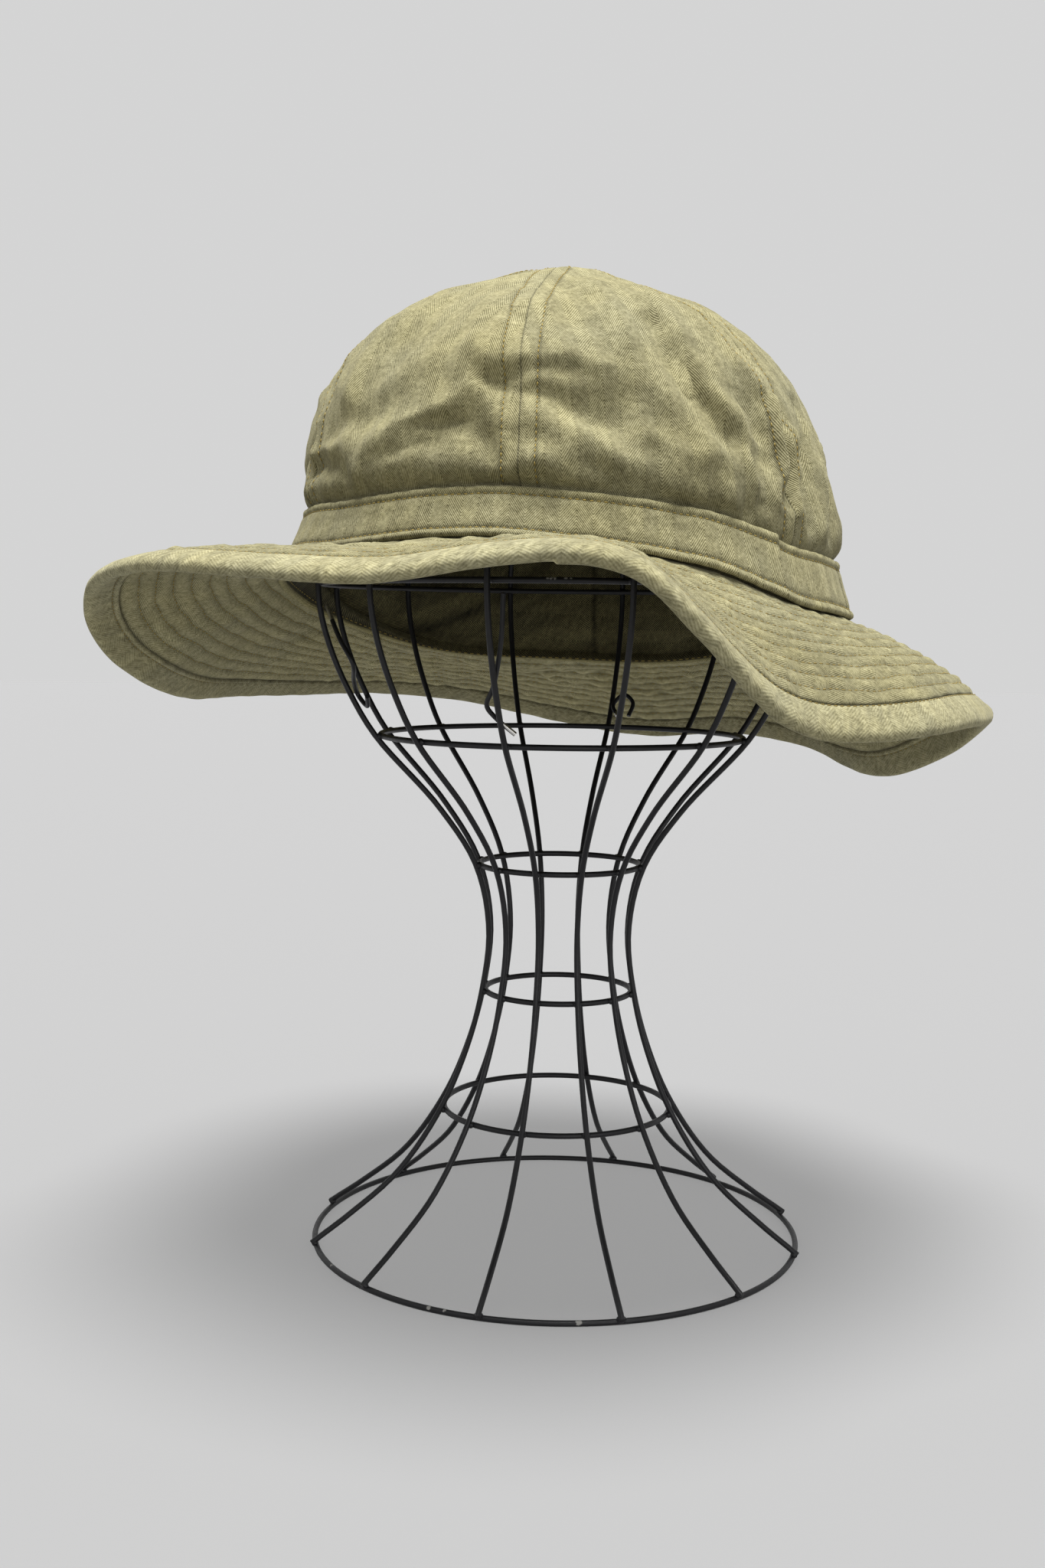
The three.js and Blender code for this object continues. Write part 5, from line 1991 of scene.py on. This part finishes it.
    def build_welds(self) -> Piece:
        """Puts a small bead of weld where each rib meets each ring.

        Returns:
            An object with all the beads.
        """
        bm = bmesh.new()
        chance = np.random.default_rng(7)
        for index, (radius, height) in enumerate(self.rings()):
            for rib in range(self.rib_count):
                turn = math.radians(self.first_rib + rib * 360.0 / self.rib_count - 90.0)
                outwards = {0: 0.5, 6: 0.0}.get(index, 0.9)
                upwards = {0: 0.95, 6: -0.9}.get(index, 0.0)
                size = self.wire * chance.uniform(*self.weld_size)
                pose = (
                    Matrix.Rotation(turn, 4, "Z")
                    @ Matrix.Translation((radius + outwards, 0, height + upwards))
                    @ Matrix.Diagonal((size, size * 1.35, size * 1.05, 1.0))
                )
                bmesh.ops.create_icosphere(bm, subdivisions=2, radius=1.0, matrix=pose)
        return self.place(bm, "stand_welds_raw")

    def build(self, paint: Material) -> None:
        """Welds ribs, rings and beads into one solid.

        Args:
            paint: Material of the wire.
        """
        parts = [self.build_ribs(), self.build_rings(), self.build_welds()]
        body = parts[0]
        for other in parts[1:]:
            join = body.modifiers.new("weld", "BOOLEAN")
            join.operation = "UNION"
            join.solver = "MANIFOLD"
            join.object = other
        view = bpy.context.evaluated_depsgraph_get()
        mesh = bpy.data.meshes.new_from_object(body.evaluated_get(view))
        mesh.name = "wire_stand"
        mesh.materials.clear()
        mesh.materials.append(paint)
        mesh.polygons.foreach_set("material_index", [0] * len(mesh.polygons))
        mesh.shade_smooth()
        mesh.set_sharp_from_angle(angle=WIRE_SHARP)
        for part in parts:
            old = part.data
            bpy.data.objects.remove(part)
            bpy.data.meshes.remove(old)
        stand = add_object("wire_stand", mesh)
        nodes = ["stand_base_ring", "stand_top_ring"]
        nodes += [f"stand_ring_{name}" for name in ("low", "waist_low", "waist_high", "high", "shoulder")]
        nodes += [f"stand_rib_{i + 1:02d}" for i in range(self.rib_count)]
        finish_piece(stand, "black_wire", *nodes)


@dataclass
class WireClips:
    """The small bent wires beside the ribs, with bare bright ends.

    Attributes:
        stand: The stand that carries the clips.
        wire: Radius of the wire.
        inset: Distance of the clips inside the ribs.
        sides: Sides of the wire's section.
        steps: Steps along a clip.
        routes: Name, bare steps at the start and at the end, and the azimuth and height of each point.
    """

    stand: WireStand
    wire: float = 0.8
    inset: float = 2.4
    sides: int = 12
    steps: int = 56
    routes: tuple[tuple[str, int, int, tuple[tuple[float, float], ...]], ...] = (
        (
            "wire_clip_left", 7, 0,
            ((-76.5, 224), (-70, 213), (-66, 205), (-72, 199), (-76.5, 194), (-71, 190.5), (-66, 194)),
        ),
        (
            "wire_clip_front", 0, 7,
            ((-14, 228), (-15, 213), (-18, 199), (-20.5, 193), (-18.5, 189), (-14, 184)),
        ),
        (
            "wire_clip_back", 4, 0,
            ((160, 184), (162, 188), (159, 192), (155.5, 189), (156, 184)),
        ),
    )

    def build(self, paint: Material, bare: Material) -> None:
        """Makes the clips.

        Args:
            paint: Material of the painted wire.
            bare: Material of the bare ends.
        """
        for name, first_bare, last_bare, route in self.routes:
            points = []
            for azimuth, height in route:
                radius = self.stand.radius_at(height)[0] - self.inset
                points.append(around(np.array(azimuth), np.array(radius), np.array(height), np.zeros(2)))
            line = catmull(np.array(points), self.steps)
            bm = bmesh.new()
            sweep_wire(bm, line, self.wire, self.sides)
            piece = self.stand.place(bm, name + "_wire")
            piece.data.materials.append(paint)
            piece.data.materials.append(bare)
            for face in piece.data.polygons:
                spot = np.array(face.center[:]) / MM - self.stand.axis
                nearest = int(np.argmin(np.linalg.norm(line - spot, axis=1)))
                if nearest < first_bare or nearest > self.steps - last_bare:
                    face.material_index = 1
            piece.data.shade_smooth()
            piece.data.set_sharp_from_angle(angle=WIRE_SHARP)
            finish_piece(piece, "black_wire", name)


# ---- studio


@dataclass
class Studio:
    """The pale floor, the soft light and the camera of the photo's view.

    Attributes:
        axis: The middle of the base ring.
        eye: Place of the camera.
        pitch: Tilt of the camera down, in radians.
        roll: Turn of the camera about its view, in radians.
        lens: Focal length.
        floor_radius: Radius of the floor, in metres.
        sky_strength: Strength of the even light.
        key_strength: Strength of the light from above.
        fill_strength: Strength of the light from the front.
        ground_strength: Strength of the light that only the floor takes.
    """

    axis: Array
    eye: tuple[float, float, float] = (-13.6, -616.6, 217.7)
    pitch: float = 0.0892
    roll: float = 0.0127
    lens: float = 40.22
    floor_radius: float = 6.0
    sky_strength: float = 0.66
    key_strength: float = 8.3
    fill_strength: float = 1.0
    ground_strength: float = 8.0

    def build_floor(self) -> Piece:
        """Lays the floor as a wide disc.

        Returns:
            The floor.
        """
        bm = bmesh.new()
        bmesh.ops.create_circle(bm, cap_ends=True, radius=self.floor_radius, segments=96)
        mesh = write_mesh(bm, "floor")
        mesh.materials.append(PaleGround("pale_ground").make())
        floor = add_object("floor", mesh)
        return floor

    def add_light(
        self, name: str, come_from: tuple[float, float, float], softness: float, power: float
    ) -> Piece:
        """Adds a soft light that reaches the whole floor evenly.

        Args:
            name: Name of the light.
            come_from: Direction that it comes from.
            softness: Angle that the light fills, in degrees.
            power: Its strength in watts for each square metre.

        Returns:
            The light.
        """
        data = bpy.data.lights.new(name, "SUN")
        data.angle = math.radians(softness)
        data.energy = power
        light = add_object(name, data)
        light.rotation_mode = "QUATERNION"
        light.rotation_quaternion = Vector(come_from).to_track_quat("Z", "Y")
        return light

    def light_ground(self, floor: Piece) -> None:
        """Adds an even light that the floor alone receives, so that the shadow on it stays pale.

        Args:
            floor: The floor.
        """
        light = self.add_light("ground", (0.0, 0.0, 1.0), 20.0, self.ground_strength)
        light.data.use_shadow = False
        receivers = bpy.data.collections.new("ground_light_receivers")
        receivers.objects.link(floor)
        light.light_linking.receiver_collection = receivers

    def build_camera(self) -> None:
        """Sets the camera up where the photo was taken from."""
        data = bpy.data.cameras.new("camera")
        data.lens = self.lens
        data.sensor_width = 36.0
        data.clip_start = 0.01
        camera = add_object("camera", data)
        place = (np.array(self.eye) + self.axis) * MM
        tilt = Matrix.Rotation(math.pi / 2 - self.pitch, 4, "X")
        camera.matrix_world = Matrix.Translation(Vector(place)) @ tilt @ Matrix.Rotation(self.roll, 4, "Z")
        bpy.context.scene.camera = camera

    def build(self) -> None:
        """Builds the whole studio."""
        floor = self.build_floor()
        self.build_camera()
        world = bpy.data.worlds.new("studio")
        world.use_nodes = True
        sky = world.node_tree.nodes["Background"]
        sky.inputs["Color"].default_value = (1.0, 1.0, 1.0, 1.0)
        sky.inputs["Strength"].default_value = self.sky_strength
        bpy.context.scene.world = world
        bpy.context.scene.view_settings.view_transform = "Standard"
        self.add_light("overhead", (0.03, -0.12, 1.0), 30.0, self.key_strength)
        self.add_light("fill", (0.35, -1.0, 0.04), 50.0, self.fill_strength)
        self.light_ground(floor)


def main() -> None:
    """Builds the studio, the stand and the hat in order."""
    logging.basicConfig(level=logging.INFO, format="%(name)s: %(message)s")
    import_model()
    low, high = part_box("stand_base_ring")
    middle = (low + high) / 2 / MM
    axis = np.array([middle.x, middle.y, 0.0])
    Studio(axis).build()

    stand = WireStand(axis)
    paint = BlackPaint("black_paint", chips=stand.chip_spots()).make()
    cloth = HerringboneCloth("herringbone").make()
    # sweatband cloth: a darker self-fabric, darkened further as painted shade of the hat's inside
    lying = HerringboneCloth(
        "herringbone_inside_shaded",
        pale=(0.160, 0.143, 0.066, 1.0),
        mid=(0.047, 0.041, 0.016, 1.0),
        dark=(0.008, 0.007, 0.003, 1.0),
        grain=Grain.LYING,
        contrast=1.3,
        grit=0.55,
        wrinkle_streak=0.9,
    ).make()
    quilted = HerringboneCloth("herringbone_quilted", relief=0.15, contrast=0.9, stripe=0.0).make()
    border = HerringboneCloth(
        "herringbone_border",
        pale=(0.305, 0.285, 0.175, 1.0),
        mid=(0.185, 0.170, 0.094, 1.0),
        dark=(0.080, 0.072, 0.036, 1.0),
        slope=0.7,
        relief=0.25,
        contrast=0.35,
        stripe=0.04,
        wrinkle_streak=1.1,
    ).make()
    thread = SewingThread("mustard_thread").make()
    # a darker copy of the mustard thread, for the brim's upper face and the border
    darker_thread = SewingThread("darker_thread", (0.26, 0.195, 0.050, 1.0), (0.12, 0.085, 0.023, 1.0)).make()
    stand.build(paint)
    WireClips(stand).build(paint, BareSteel("bare_steel").make())

    form = HatForm(axis)
    Crown(form).build(cloth, thread)
    HatBand(form).build(cloth, thread)
    Sweatband(form).build(lying, thread)
    Brim(form).build(quilted, border, darker_thread, thread)


if __name__ == "__main__":
    main()
